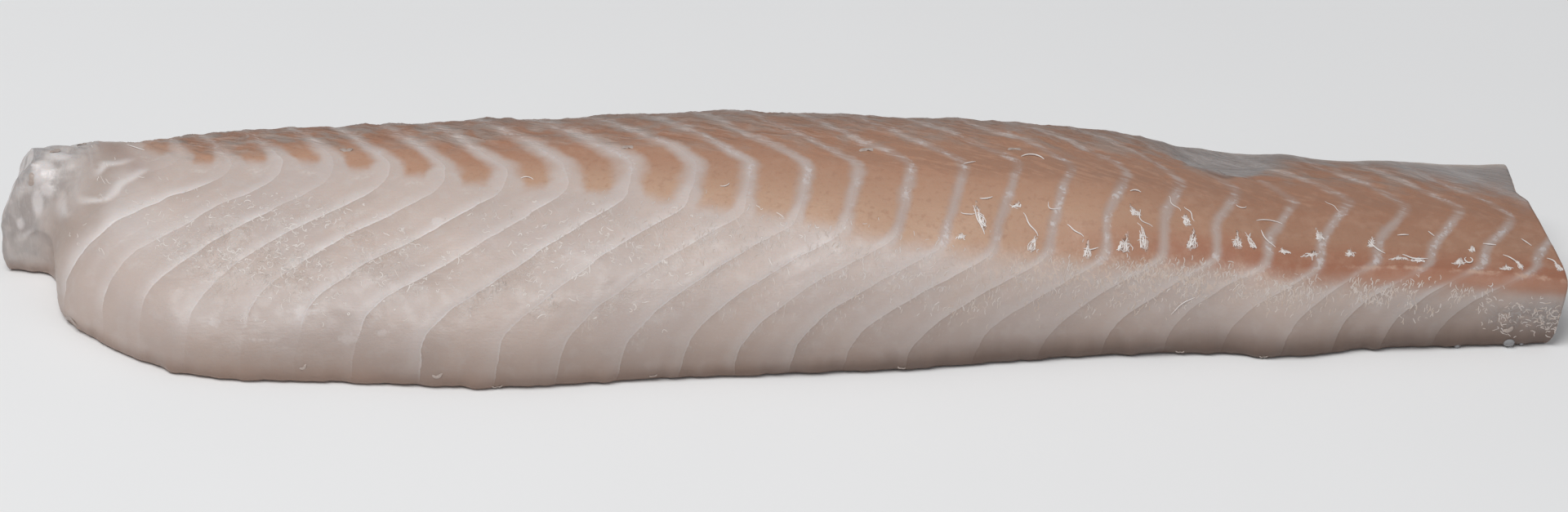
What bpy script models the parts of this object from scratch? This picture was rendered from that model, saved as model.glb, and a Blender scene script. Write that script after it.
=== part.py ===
"""Skinless cod loin, raw: one solid piece of fish lying on its flat side.

The loin is a loft along X.  Each cross section is a rounded wedge: a flat
underside on Z = 0, a rounded front (-Y, the side that was next to the back
fin), a top that carries the thin brown layer left by the skin, and a steep
cut wall at the back (+Y).  The head end is at -X, the tail end at +X.
Over the loft lies the relief of the flakes: every flake overlaps the next
one like a shingle, along lines that bend the way the muscle segments do.

Sizes are in millimetres here and become metres in the mesh.
"""
import math

import bmesh
import bpy
import numpy as np

MM = 0.001

# ---------------------------------------------------------------- main sizes
HALF_LENGTH = 190.0          # from the middle to either end
FOOT_ROUND = 4.0             # height of the rounded edge where the flesh meets the table
FOOT_INSET = 0.6             # how much of that edge tucks under
TOP_SLOPE = 0.17             # slant of the flat top on the tail half
SHOULDER_SHARPNESS = 22.0    # how crisply the top plane meets the rounded section

RINGS = 130                  # cross sections along the loin
UPPER_POINTS = 35            # points of a section from the front foot over the top to the back foot
UNDER_POINTS = 5             # points across the underside, between the two feet
FINE = 240                   # points used to measure a section before it is divided evenly

# Tables along the loin: (position from -190 head to +190 tail, value).
FRONT_EDGE = ((-190, 9), (-183, 7.8), (-179.5, 6), (-177.5, 2.5), (-174.3, -12), (-170, -19), (-162, -27),
              (-152, -34.5), (-142, -40.5), (-130, -43.3), (-105, -44.6), (-70, -46.8), (-20, -42.5),
              (30, -38.7), (80, -32.2), (105, -31.2), (122, -33), (142, -29.5), (190, -26.8))
BACK_EDGE = ((-190, 31), (-182, 34), (-170, 35), (-120, 37), (-60, 38.5), (0, 39), (60, 37.5),
             (100, 34), (130, 32), (190, 30))
HEIGHT = ((-190, 27.5), (-176, 28.6), (-160, 29), (-120, 32.2), (-60, 35), (-10, 38.2), (40, 37.8),
          (80, 34.5), (100, 30.7), (130, 26.2), (150, 25.3), (190, 23.6))
CREST = ((-190, 17), (-150, 16), (-100, 14), (-40, 10), (20, 6), (80, 4), (120, 8), (190, 9))
FRONT_POWER = ((-190, 2.0), (-160, 2.0), (-130, 1.75), (-60, 2.0), (20, 2.3), (90, 2.7),
               (150, 3.4), (190, 4.5))
BACK_POWER = ((-190, 3.2), (-60, 3.4), (60, 3.0), (110, 3.6), (190, 4.5))
SHOULDER = ((-190, 90), (40, 60), (90, 34), (120, 24), (150, 20.5), (190, 17.5))

# Flakes: where the dividing lines lie and how they bend round the section.
FLAKE_COUNT = ((-210, -5), (-132, 1.1), (-93, 4.1), (-51, 7), (-20, 9.1), (57, 15), (138, 21), (200, 25.3))
HOOK_AT = ((-180, 11), (-130, 22), (-80, 16), (-20, 12.5), (50, 11.5), (110, 13), (170, 10))
KNEE_AT = ((-190, 57), (-140, 60), (-100, 55), (-60, 49), (-20, 42), (30, 33), (80, 23), (130, 22),
           (180, 20))
APEX_AT = ((-190, 67), (-60, 65), (20, 59), (80, 57), (180, 44))
RUN_SLOPE = ((-180, 0.7), (-140, 1.2), (-100, 1.4), (-50, 1.4), (20, 1.65), (100, 2.7), (180, 2.3))
FACE_SLOPE = ((-190, 0.4), (-60, 0), (20, 0.2), (80, 0.3), (180, 0.55))
ARM_SLOPE = ((-190, -0.6), (20, -1.1), (120, -1.1), (190, -1.6))
BACK_WALL_SLOPE = -0.35
BACK_WALL_HEIGHT = 32.0      # the lines turn again where the top meets the cut wall at the back
CORNER_ROUND = 3.0           # rounding of the bends in a dividing line
FLAKE_STEP = 0.55            # height of a flake's edge over the next flake

# The two end cuts are not square: how far their points move along X.
HEAD_CUT_FADES = (-190, -130)          # the head cut's lean fades out over this stretch
HEAD_CUT_LEAN = 0.38                   # lean back per millimetre of height, above HEAD_LEAN_ABOVE
HEAD_LEAN_ABOVE = 13.0
HEAD_TOP_CORNER = (24, 30, 4.0)        # the top corner is rounded off between two heights, by so much
HEAD_FOOT_CORNER = (4.0, 0.3)          # below this height the foot draws back, at this rate
HEAD_BACK_CORNER = (24.0, 0.25)        # behind this Y the back corner draws back, at this rate
HEAD_NOSE = 1.0                        # the middle of the cut stands this far out
TAIL_CUT_FADES = (120, 190)
TAIL_CUT_SLANT = 0.19                  # slant across the loin, from the front corner backwards
TAIL_SLANT_REACH = (25.0, 33.0)        # where the slant starts in front, and how far it goes on
TAIL_FLAP_STEP = (5, 11, 2.4)          # the pale flap is cut shorter than the brown top
TAIL_BACK_CORNER = (13.0, 0.05)
TAIL_UNDERCUT = (18.0, 0.19)           # below this height the cut runs inwards, at this rate
TAIL_FOOT_CORNER = (4.0, 0.25)

# Local forms.
FLAKE_DROP = (0.86, 1.0)               # part of a flake's width over which its edge drops
FLAKE_MIDDLE = 0.42                    # keeps the relief even about the smooth section
HEAD_CREASE = (-177.0, 2.6, 1.6)       # place along X, half width and depth of the crease by the lobe
LOBE_ENDS = (-182, -176)
LOBE_RAGGED = 0.8
FLAP_STARTS = (92.0, 106.0)            # the pale flap behind the brown top, towards the tail
FLAP_LINE = 75.0                       # its border, measured round the section, and how it comes forward
FLAP_LINE_FORWARD = ((96, 112, 17.0), (130, 190, 8.0))
FLAP_DROP = 1.5
FLAP_BORDER = 0.8                      # half width of the small drop
FLAP_RECOVERS = (2.0, 15.0, 0.75)      # the flap rises again behind its border
SADDLE_AT = (106.0, 19.0)              # shallow saddle behind the crest: X and Y of its middle
SADDLE_SIZE = (17.0, 6.5)
SADDLE_DEPTH = 4.0
RIPPLE = 0.30                          # slow unevenness of a piece cut by hand
RELIEF_FADES = (0.3, 5.0)              # the relief fades out down to the foot
CAP_STEPS = (0.92, 0.76, 0.56, 0.34)   # rings that close each cut end
CAP_CENTRE = 0.46                      # height of the cap's middle, as part of its ring's height
CAP_UNEVEN = 0.35
HEAD_CAP_BULGE = -1.6
TAIL_CAP_BULGE = 0.5
TAIL_CAP_FLAKE = 0.5                   # curved flakes that show on the tail cut
TAIL_CAP_FLAKE_WIDTH = 7.5
TAIL_CAP_FLAKE_CENTRE = (6.0, -4.0)    # Y and Z that the curved flakes lie round
END_RINGS_CLOSER = 0.075               # how much closer the rings lie at the two ends


def along(u, table):
    """Smooth curve through a table's stations that never swings past them."""
    at = np.array([row[0] for row in table], float)
    value = np.array([row[1] for row in table], float)
    step = np.diff(at)
    slope = np.diff(value) / step
    lean = np.zeros(len(at))
    lean[0] = slope[0]
    lean[-1] = slope[-1]
    for k in range(1, len(at) - 1):
        if slope[k - 1] * slope[k] > 0:
            w1 = 2 * step[k] + step[k - 1]
            w2 = step[k] + 2 * step[k - 1]
            lean[k] = (w1 + w2) / (w1 / slope[k - 1] + w2 / slope[k])
    u = np.clip(u, at[0], at[-1])
    k = np.clip(np.searchsorted(at, u, side="right") - 1, 0, len(step) - 1)
    t = (u - at[k]) / step[k]
    rise = value[k] * (1 + 2 * t) * (1 - t) ** 2 + value[k + 1] * t * t * (3 - 2 * t)
    return rise + step[k] * t * (1 - t) * (lean[k] * (1 - t) - lean[k + 1] * t)


def smooth(low, high, value):
    """0 below low, 1 above high, an S curve between."""
    t = np.clip((value - low) / (high - low), 0, 1)
    return t * t * (3 - 2 * t)


def ramp(value, width):
    """0 for negative values, the value itself for positive ones, with a rounded corner."""
    return 0.5 * (value + np.sqrt(value * value + width * width))


def section(u):
    """One cross section at u: Y and Z from the front foot over the top to the back foot."""
    angle = np.linspace(0, math.pi, FINE)
    in_front = angle < math.pi / 2
    crest = along(u, CREST)
    reach_front = crest - along(u, FRONT_EDGE)
    reach_back = along(u, BACK_EDGE) - crest
    reach = np.where(in_front, reach_front, reach_back)
    power = np.where(in_front, along(u, FRONT_POWER), along(u, BACK_POWER))
    height = along(u, HEIGHT)
    # rounded quarter shapes, wider or squarer as the power says
    radius = np.abs(np.cos(angle) / reach) ** power + np.abs(np.sin(angle) / height) ** power
    radius = radius ** (-1 / power)
    # the slanting top plane of the tail half, from the shoulder upwards
    plane_level = along(u, SHOULDER) + TOP_SLOPE * reach_front
    plane = plane_level / np.maximum(np.sin(angle) + TOP_SLOPE * np.cos(angle), 1e-3)
    sharp = SHOULDER_SHARPNESS
    radius = (radius ** -sharp + plane ** -sharp) ** (-1 / sharp)
    y = crest - radius * np.cos(angle)
    z = radius * np.sin(angle)
    off_saddle = ((u - SADDLE_AT[0]) / SADDLE_SIZE[0]) ** 2 + ((y - SADDLE_AT[1]) / SADDLE_SIZE[1]) ** 2
    z = z - SADDLE_DEPTH * np.exp(-off_saddle) * np.sin(angle)
    # the edge where the flesh meets the table is rounded and tucks under
    missing = np.clip(FOOT_ROUND - z, 0, FOOT_ROUND) / FOOT_ROUND
    tuck = FOOT_INSET * FOOT_ROUND * (1 - np.sqrt(1 - missing ** 2))
    y = y + np.where(in_front, 1, -1) * tuck
    # divided evenly along the section
    length = np.concatenate([[0], np.cumsum(np.hypot(np.diff(y), np.diff(z)))])
    even = np.linspace(0, length[-1], UPPER_POINTS)
    return np.interp(even, length, y), np.interp(even, length, z), even


def above(limit, value):
    """How far a value lies above a limit, or 0."""
    return np.clip(value - limit, 0, None)


def end_lean(u, y, z):
    """How far a point moves along X because the two end cuts are not square."""
    low, high, corner = HEAD_TOP_CORNER
    head_shift = HEAD_CUT_LEAN * above(HEAD_LEAN_ABOVE, z) + corner * smooth(low, high, z) - HEAD_NOSE
    head_shift = head_shift + HEAD_FOOT_CORNER[1] * above(0, HEAD_FOOT_CORNER[0] - z)
    head_shift = head_shift + HEAD_BACK_CORNER[1] * above(HEAD_BACK_CORNER[0], y)
    low, high, step = TAIL_FLAP_STEP
    tail_shift = TAIL_CUT_SLANT * np.clip(y + TAIL_SLANT_REACH[0], 0, TAIL_SLANT_REACH[1])
    tail_shift = tail_shift + step * smooth(low, high, y)
    tail_shift = tail_shift + TAIL_BACK_CORNER[1] * above(TAIL_BACK_CORNER[0], y)
    tail_shift = tail_shift + TAIL_UNDERCUT[1] * above(0, TAIL_UNDERCUT[0] - z)
    tail_shift = tail_shift + TAIL_FOOT_CORNER[1] * above(0, TAIL_FOOT_CORNER[0] - z)
    head = 1 - smooth(*HEAD_CUT_FADES, u)
    tail = smooth(*TAIL_CUT_FADES, u)
    return head * head_shift - tail * tail_shift


def flake_number(x, s, girth):
    """Counts flakes from the head end; a whole number is a line between two flakes.

    s runs round the section from the front foot.  A line drops steeply at the
    foot, runs slantwise up the front, turns at the knee, and bends back at the
    apex on top, where its count is read.
    """
    hook = along(x, HOOK_AT)
    knee = along(x, KNEE_AT)
    apex = along(x, APEX_AT)
    run = along(x, RUN_SLOPE)
    face = along(x, FACE_SLOPE)
    arm = along(x, ARM_SLOPE)

    def bend(at):
        bent = run * ramp(at - hook, CORNER_ROUND)
        bent = bent + (face - run) * ramp(at - knee, CORNER_ROUND)
        bent = bent + (arm - face) * ramp(at - apex, CORNER_ROUND)
        return bent + (BACK_WALL_SLOPE - arm) * ramp(at - girth + BACK_WALL_HEIGHT, CORNER_ROUND)

    return along(x - bend(s) + bend(apex), FLAKE_COUNT)


def relief(u, x, s, girth, z):
    """Height of the small forms over the smooth section, in millimetres."""
    count = flake_number(x, s, girth)
    within = count - np.floor(count)
    # each flake rises towards the tail, then drops to the next one
    shingle = FLAKE_STEP * (within * (1 - smooth(*FLAKE_DROP, within)) - FLAKE_MIDDLE)
    # crease and ragged lobe at the head
    place, half_width, depth = HEAD_CREASE
    crease = depth * np.exp(-((u - place) / half_width) ** 2)
    lobe = 1 - smooth(*LOBE_ENDS, u)
    ragged = LOBE_RAGGED * lobe * np.sin(0.62 * s + 1.3) * np.sin(0.55 * u + 0.21 * s)
    # the brown top ends in a small drop, and the pale flap lies behind it
    behind = s - FLAP_LINE
    for low, high, forward in FLAP_LINE_FORWARD:
        behind = behind + forward * smooth(low, high, u)
    recovers_from, recovers_to, recovered = FLAP_RECOVERS
    drop = FLAP_DROP * smooth(*FLAP_STARTS, u) * smooth(-FLAP_BORDER, FLAP_BORDER, behind)
    drop = drop * (1 - recovered * smooth(recovers_from, recovers_to, behind))
    waves = np.sin(0.21 * x + 0.9) * np.sin(0.11 * s + 0.4) + 0.7 * np.sin(0.087 * x + 0.16 * s)
    height = shingle * (1 - lobe) - crease + ragged - drop + RIPPLE * waves
    return height * smooth(*RELIEF_FADES, z)


def loin_grid():
    """Rings of points: X, Y, Z arrays of RINGS rows, closed round each section."""
    # rings lie closer together at the two cut ends
    t = np.linspace(-1, 1, RINGS)
    stations = HALF_LENGTH * (t + END_RINGS_CLOSER * np.sin(math.pi * t))
    rows = [section(u) for u in stations]
    y = np.array([row[0] for row in rows])
    z = np.array([row[1] for row in rows])
    s = np.array([row[2] for row in rows])
    u = np.repeat(stations[:, None], UPPER_POINTS, axis=1)
    x = u + end_lean(u, y, z)
    # outward direction from the neighbours along and round the loin
    place = np.stack([x, y, z], axis=2)
    down_the_loin = np.gradient(place, axis=0)
    round_the_loin = np.gradient(place, axis=1)
    outward = np.cross(down_the_loin, round_the_loin)
    outward = outward / np.linalg.norm(outward, axis=2, keepdims=True)
    girth = np.repeat(s[:, -1:], UPPER_POINTS, axis=1)
    place = place + outward * relief(u, x, s, girth, z)[:, :, None]
    place[:, :, 2] = np.maximum(place[:, :, 2], 0)
    place[:, 0, 2] = 0
    place[:, -1, 2] = 0
    # the flat underside closes each ring
    fraction = np.linspace(0, 1, UNDER_POINTS + 2)[1:-1][None, :, None]
    under = place[:, -1:, :] * (1 - fraction) + place[:, :1, :] * fraction
    return np.concatenate([place, under], axis=1)


def cut_end(ring, bulge, flake_height):
    """Rings that shrink into a cut end, and the point in its middle."""
    centre = ring.mean(axis=0)
    centre[2] = CAP_CENTRE * ring[:, 2].max()
    rings = []
    for scale in CAP_STEPS:
        smaller = centre + (ring - centre) * scale
        uneven = np.sin(0.55 * smaller[:, 1] + 2.0) * np.sin(0.6 * smaller[:, 2] + 1.0)
        from_y, from_z = TAIL_CAP_FLAKE_CENTRE
        arcs = np.hypot(smaller[:, 1] - from_y, smaller[:, 2] - from_z) / TAIL_CAP_FLAKE_WIDTH
        shingle = arcs - np.floor(arcs) - 0.5
        smaller[:, 0] += bulge * (1 - scale ** 4) + flake_height * shingle + CAP_UNEVEN * uneven
        rings.append(smaller)
    tip = centre.copy()
    tip[0] = rings[-1][:, 0].mean()
    return rings, tip


def centred(rings, tips):
    """Moves everything so that the box round it has its bottom centre at the origin."""
    points = np.concatenate(rings + [np.array(tips)])
    middle = (points.min(axis=0) + points.max(axis=0)) / 2
    middle[2] = 0
    print("moved by %.3f, %.3f mm" % (-middle[0], -middle[1]))
    return [ring - middle for ring in rings], [tip - middle for tip in tips]


def build_mesh(name):
    """Joins the rings into one closed body."""
    grid = loin_grid()
    rings = [grid[k] for k in range(RINGS)]
    head_rings, head_tip = cut_end(rings[0], HEAD_CAP_BULGE, 0)
    tail_rings, tail_tip = cut_end(rings[-1], TAIL_CAP_BULGE, TAIL_CAP_FLAKE)
    rings, tips = centred(head_rings[::-1] + rings + tail_rings, [head_tip, tail_tip])

    body = bmesh.new()
    loops = [[body.verts.new(point * MM) for point in ring] for ring in rings]
    around = len(loops[0])
    for this_loop, next_loop in zip(loops, loops[1:]):
        for k in range(around):
            after = (k + 1) % around
            body.faces.new((this_loop[k], next_loop[k], next_loop[after], this_loop[after]))
    for loop, tip in zip((loops[0], loops[-1]), tips):
        middle = body.verts.new(tip * MM)
        for k in range(around):
            body.faces.new((loop[k], loop[(k + 1) % around], middle))
    bmesh.ops.triangulate(body, faces=body.faces[:])
    bmesh.ops.recalc_face_normals(body, faces=body.faces[:])
    mesh = bpy.data.meshes.new(name)
    body.to_mesh(mesh)
    body.free()
    mesh.shade_smooth()
    return mesh


def flesh_material():
    """Wet raw cod: pale, slightly warm and glossy."""
    material = bpy.data.materials.new("raw_cod_flesh")
    material.use_nodes = True
    shader = material.node_tree.nodes["Principled BSDF"]
    shader.inputs["Base Color"].default_value = (0.56, 0.46, 0.40, 1)
    shader.inputs["Roughness"].default_value = 0.38
    shader.inputs["Metallic"].default_value = 0.0
    shader.inputs["Subsurface Weight"].default_value = 0.3
    shader.inputs["Subsurface Radius"].default_value = (0.004, 0.002, 0.0012)
    return material


def clear_scene():
    for item in list(bpy.data.objects):
        bpy.data.objects.remove(item, do_unlink=True)


def main():
    clear_scene()
    collection = bpy.data.collections.new("skinless_cod_loin")
    bpy.context.scene.collection.children.link(collection)
    loin = bpy.data.objects.new("cod_loin", build_mesh("cod_loin"))
    loin.data.materials.append(flesh_material())
    collection.objects.link(loin)
    size = loin.dimensions / MM
    print("cod loin: %.1f x %.1f x %.1f mm, %d faces" % (size.x, size.y, size.z, len(loin.data.polygons)))


main()
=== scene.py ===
# %% [markdown]
# # A raw, skinless cod loin
#
# The object is one thick piece of raw cod, 38 cm long: the loin, cut from above the backbone of a
# large fish, with its skin pulled off. It lies on its flat inner side. The white flesh is built of
# flakes, thin curved muscle segments that follow each other like the cups of a stack, so their
# edges show as bent lines round the whole piece. Along the top runs the dark, fatty muscle that
# lay under the skin, orange-brown and ragged where the skin was torn away.
#
# This lesson builds the visible fish over a plain solid of the same size, which was made first for
# weight and contact. The steps are: load that solid, rebuild its form with far more points, press
# the fine relief into it, paint the flesh, add the small loose bits, and set up light and camera.

# %% Load the solid model that everything is fitted to
import math

import bpy
import numpy as np
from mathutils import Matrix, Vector


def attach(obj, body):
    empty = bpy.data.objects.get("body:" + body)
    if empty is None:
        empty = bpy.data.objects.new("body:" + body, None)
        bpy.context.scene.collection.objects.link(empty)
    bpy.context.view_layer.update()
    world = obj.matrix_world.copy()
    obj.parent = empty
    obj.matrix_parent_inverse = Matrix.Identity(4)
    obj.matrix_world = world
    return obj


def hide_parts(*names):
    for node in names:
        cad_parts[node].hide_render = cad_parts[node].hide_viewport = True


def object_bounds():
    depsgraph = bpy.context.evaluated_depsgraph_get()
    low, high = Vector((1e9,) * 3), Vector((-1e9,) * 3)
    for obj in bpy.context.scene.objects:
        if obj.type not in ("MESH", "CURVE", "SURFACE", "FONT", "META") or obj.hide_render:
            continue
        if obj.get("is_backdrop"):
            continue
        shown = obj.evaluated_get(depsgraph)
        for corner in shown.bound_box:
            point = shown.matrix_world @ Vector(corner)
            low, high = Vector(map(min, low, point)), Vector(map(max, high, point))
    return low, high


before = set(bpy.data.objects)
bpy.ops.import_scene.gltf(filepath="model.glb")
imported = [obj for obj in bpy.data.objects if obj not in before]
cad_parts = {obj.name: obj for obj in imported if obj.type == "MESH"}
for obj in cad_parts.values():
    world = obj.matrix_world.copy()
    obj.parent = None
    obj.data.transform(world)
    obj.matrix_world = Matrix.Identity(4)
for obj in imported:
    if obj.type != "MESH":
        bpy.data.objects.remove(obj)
solid_low, solid_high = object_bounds()


def print_box(which, low, high):
    """Says how long, wide and tall a box is."""
    print(which, "box in mm:", [round(1000 * (b - a), 1) for a, b in zip(low, high)])


print_box("solid", solid_low, solid_high)

# %% [markdown]
# ## Units and small tools
#
# Food is measured in millimetres, Blender works in metres, so one factor turns the one into the
# other. Two curves do most of the shaping. `along` draws a smooth curve through a few stations
# along the loin without ever swinging past them, as a flexible ruler bent through them would.
# `smooth` is the S curve used wherever one thing turns softly into another.

# %% Curves
MM = 0.001


def along(at, stations):
    """Monotone cubic through (place, value) stations: between two stations the value is
    v0 (1+2t)(1-t)^2 + v1 t^2 (3-2t) + step t (1-t) (lean0 (1-t) - lean1 t), where each lean is the
    weighted harmonic mean of the slopes on its two sides, or 0 at a turning point."""
    place, value = np.array(stations, float).T
    step = np.diff(place)
    slope = np.diff(value) / step
    lean = np.concatenate([slope[:1], np.zeros(len(place) - 2), slope[-1:]])
    same_way = np.nonzero(slope[:-1] * slope[1:] > 0)[0]
    near, far = 2 * step[same_way + 1] + step[same_way], step[same_way + 1] + 2 * step[same_way]
    lean[same_way + 1] = (near + far) / (near / slope[same_way] + far / slope[same_way + 1])
    at = np.clip(at, place[0], place[-1])
    k = np.clip(np.searchsorted(place, at, side="right") - 1, 0, len(step) - 1)
    t = (at - place[k]) / step[k]
    blend = value[k] * (1 + 2 * t) * (1 - t) ** 2 + value[k + 1] * t * t * (3 - 2 * t)
    return blend + step[k] * t * (1 - t) * (lean[k] * (1 - t) - lean[k + 1] * t)


def smooth(low, high, value):
    """0 below low, 1 above high, and t t (3 - 2t) between them."""
    t = np.clip((value - low) / (high - low), 0, 1)
    return t * t * (3 - 2 * t)


def ramp(value, width):
    """Half of (value + root(value^2 + width^2)): 0 on the left, the value itself on the right."""
    return 0.5 * (value + np.sqrt(value * value + width * width))


def hump(value, middle, half_width):
    """A bell of height 1: e to the power of minus ((value - middle) / half_width)^2."""
    return np.exp(-((value - middle) / half_width) ** 2)


print("an S curve a quarter of the way:", smooth(0, 1, 0.25))

# %% [markdown]
# ## Chance that can be repeated
#
# Torn flesh is irregular, but a script has to give the same result each time. So the roughness
# comes from fixed lattices of seeded random numbers. Between the lattice points the value is
# blended with an S curve, and several such fields, each finer and fainter than the last, add up to
# something that looks grown. Taking one minus the size of the field gives sharp ridges instead.

# %% Random fields
LATTICE = 64


def field(a, b, seed):
    """Value noise from -1 to 1 on the plane (a, b): random numbers on whole-number points,
    blended between them with weights w = t^3 (10 - 15 t + 6 t^2)."""
    values = np.random.default_rng(seed).uniform(-1, 1, (LATTICE, LATTICE))
    a0, b0 = np.floor(a).astype(int), np.floor(b).astype(int)
    ta, tb = a - a0, b - b0
    wa = ta ** 3 * (10 - 15 * ta + 6 * ta * ta)
    wb = tb ** 3 * (10 - 15 * tb + 6 * tb * tb)
    left, right = a0 % LATTICE, (a0 + 1) % LATTICE
    low, high = b0 % LATTICE, (b0 + 1) % LATTICE
    below = values[left, low] * (1 - wa) + values[right, low] * wa
    above = values[left, high] * (1 - wa) + values[right, high] * wa
    return below * (1 - wb) + above * wb


def rough(a, b, seed, octaves=3):
    """Sum of fields, each twice as fine and half as strong as the one before."""
    total = np.zeros(np.broadcast(a, b).shape)
    for octave in range(octaves):
        total = total + field(a * 2 ** octave, b * 2 ** octave, seed + octave) / 2 ** octave
    return total


def ridged(a, b, seed, octaves=2):
    """1 - 2 |rough|: narrow crests where the field crosses zero."""
    return 1 - 2 * np.abs(rough(a, b, seed, octaves))


print("random fields ready, lattice of", LATTICE, "x", LATTICE)

# %% [markdown]
# ## The body: one cross section after another
#
# A loin can be modelled as a loft: a rounded cross section that changes along the length. Each
# section is a quarter of a superellipse in front and another behind, joined at the crest, which
# turns from nearly round at the head end to nearly square at the tail. Towards the tail a slanting
# plane cuts the top, which is the side that lay under the skin. The same stations shaped the
# solid, so the visible piece lies exactly in it. Each station is (place along the loin, value),
# in millimetres from the middle.

# %% Main sizes of the loft
HALF_LENGTH = 190.0
FOOT_ROUND, FOOT_INSET = 4.0, 0.6
TOP_SLOPE, SHOULDER_SHARPNESS = 0.17, 22.0

FRONT_EDGE = ((-190, 9), (-183, 7.8), (-179.5, 6), (-177.5, 2.5), (-174.3, -12), (-170, -19),
              (-162, -27), (-152, -34.5), (-142, -40.5), (-130, -43.3), (-105, -44.6), (-70, -46.8),
              (-20, -42.5), (30, -38.7), (80, -32.2), (105, -31.2), (122, -33), (142, -29.5),
              (190, -26.8))
BACK_EDGE = ((-190, 31), (-182, 34), (-170, 35), (-120, 37), (-60, 38.5), (0, 39), (60, 37.5),
             (100, 34), (130, 32), (190, 30))
HEIGHT = ((-190, 27.5), (-176, 28.6), (-160, 29), (-120, 32.2), (-60, 35), (-10, 38.2), (40, 37.8),
          (80, 34.5), (100, 30.7), (130, 26.2), (150, 25.3), (190, 23.6))
CREST = ((-190, 17), (-150, 16), (-100, 14), (-40, 10), (20, 6), (80, 4), (120, 8), (190, 9))
FRONT_POWER = ((-190, 2.0), (-160, 2.0), (-130, 1.75), (-60, 2.0), (20, 2.3), (90, 2.7),
               (150, 3.4), (190, 4.5))
BACK_POWER = ((-190, 3.2), (-60, 3.4), (60, 3.0), (110, 3.6), (190, 4.5))
SHOULDER = ((-190, 90), (40, 60), (90, 34), (120, 24), (150, 20.5), (190, 17.5))
SADDLE_AT, SADDLE_SIZE, SADDLE_DEPTH = (106.0, 19.0), (17.0, 6.5), 4.0

RINGS, UPPER_POINTS, UNDER_POINTS = 480, 172, 20
FINE = 320
END_RINGS_CLOSER = 0.075
print("the loft: %.0f mm long, %d sections of %d points" % (2 * HALF_LENGTH, RINGS, UPPER_POINTS))

# %% The sections, all at once
def sections(u):
    """Y, Z and the distance s round every section, as arrays of one row per station.
    In polar form about the foot of the crest, 1/radius^p = |cos/reach|^p + |sin/height|^p; a soft
    minimum with the slanting plane, (r^-k + plane^-k)^(-1/k), cuts the top; and each row is
    then divided evenly along its length."""
    u = u[:, None]
    angle = np.linspace(0, math.pi, FINE)[None, :]
    in_front = angle < math.pi / 2
    crest = along(u, CREST)
    reach_front, reach_back = crest - along(u, FRONT_EDGE), along(u, BACK_EDGE) - crest
    reach = np.where(in_front, reach_front, reach_back)
    power = np.where(in_front, along(u, FRONT_POWER), along(u, BACK_POWER))
    height = along(u, HEIGHT)
    radius = np.abs(np.cos(angle) / reach) ** power + np.abs(np.sin(angle) / height) ** power
    radius = radius ** (-1 / power)
    plane = along(u, SHOULDER) + TOP_SLOPE * reach_front
    plane = plane / np.maximum(np.sin(angle) + TOP_SLOPE * np.cos(angle), 1e-3)
    sharp = SHOULDER_SHARPNESS
    radius = (radius ** -sharp + plane ** -sharp) ** (-1 / sharp)
    y, z = crest - radius * np.cos(angle), radius * np.sin(angle)
    z = z - SADDLE_DEPTH * np.sin(angle) * np.exp(
        -((u - SADDLE_AT[0]) / SADDLE_SIZE[0]) ** 2 - ((y - SADDLE_AT[1]) / SADDLE_SIZE[1]) ** 2)
    missing = np.clip(FOOT_ROUND - z, 0, FOOT_ROUND) / FOOT_ROUND
    y = y + np.where(in_front, 1, -1) * FOOT_INSET * FOOT_ROUND * (1 - np.sqrt(1 - missing ** 2))
    steps = np.hypot(np.diff(y), np.diff(z))
    length = np.concatenate([np.zeros((len(u), 1)), np.cumsum(steps, axis=1)], axis=1)
    even = np.linspace(0, 1, UPPER_POINTS)[None, :] * length[:, -1:]
    k = (length[:, None, 1:-1] <= even[:, :, None]).sum(axis=2)
    t = (even - np.take_along_axis(length, k, 1)) / np.take_along_axis(steps, k, 1)

    def between(values):
        """The value at each even place: start + (end - start) * t on its own step."""
        start, end = np.take_along_axis(values, k, 1), np.take_along_axis(values, k + 1, 1)
        return start + (end - start) * t

    return between(y), between(z), even


t = np.linspace(-1, 1, RINGS)
stations = HALF_LENGTH * (t + END_RINGS_CLOSER * np.sin(math.pi * t))
Y, Z, S = sections(stations)
U = np.repeat(stations[:, None], UPPER_POINTS, axis=1)
GIRTH = S[:, -1:] + 0 * S
print("sections:", Y.shape, "girth from %.0f to %.0f mm" % (S[:, -1].min(), S[:, -1].max()))

# %% [markdown]
# ## The two cuts
#
# A knife never cuts quite square. The head end leans back above its thick edge, where the fish's
# collar was cut away, and its corners are drawn in. The tail end is cut on a slant, and the
# pale flap at the back is shorter than the brown top. Both leans are added to the place along the
# loin and fade out towards the middle.

# %% How far each point moves along the loin
HEAD_CUT_FADES, TAIL_CUT_FADES = (-190, -130), (120, 190)
HEAD_CUT_LEAN, HEAD_LEAN_ABOVE, HEAD_NOSE = 0.38, 13.0, 1.0
HEAD_TOP_CORNER, HEAD_FOOT_CORNER, HEAD_BACK_CORNER = (24, 30, 4.0), (4.0, 0.3), (24.0, 0.25)
TAIL_CUT_SLANT, TAIL_SLANT_REACH, TAIL_FLAP_STEP = 0.19, (25.0, 33.0), (5, 11, 2.4)
TAIL_BACK_CORNER, TAIL_UNDERCUT, TAIL_FOOT_CORNER = (13.0, 0.05), (18.0, 0.19), (4.0, 0.25)


def above(limit, value):
    """How far a value lies above a limit, or 0."""
    return np.clip(value - limit, 0, None)


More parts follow.
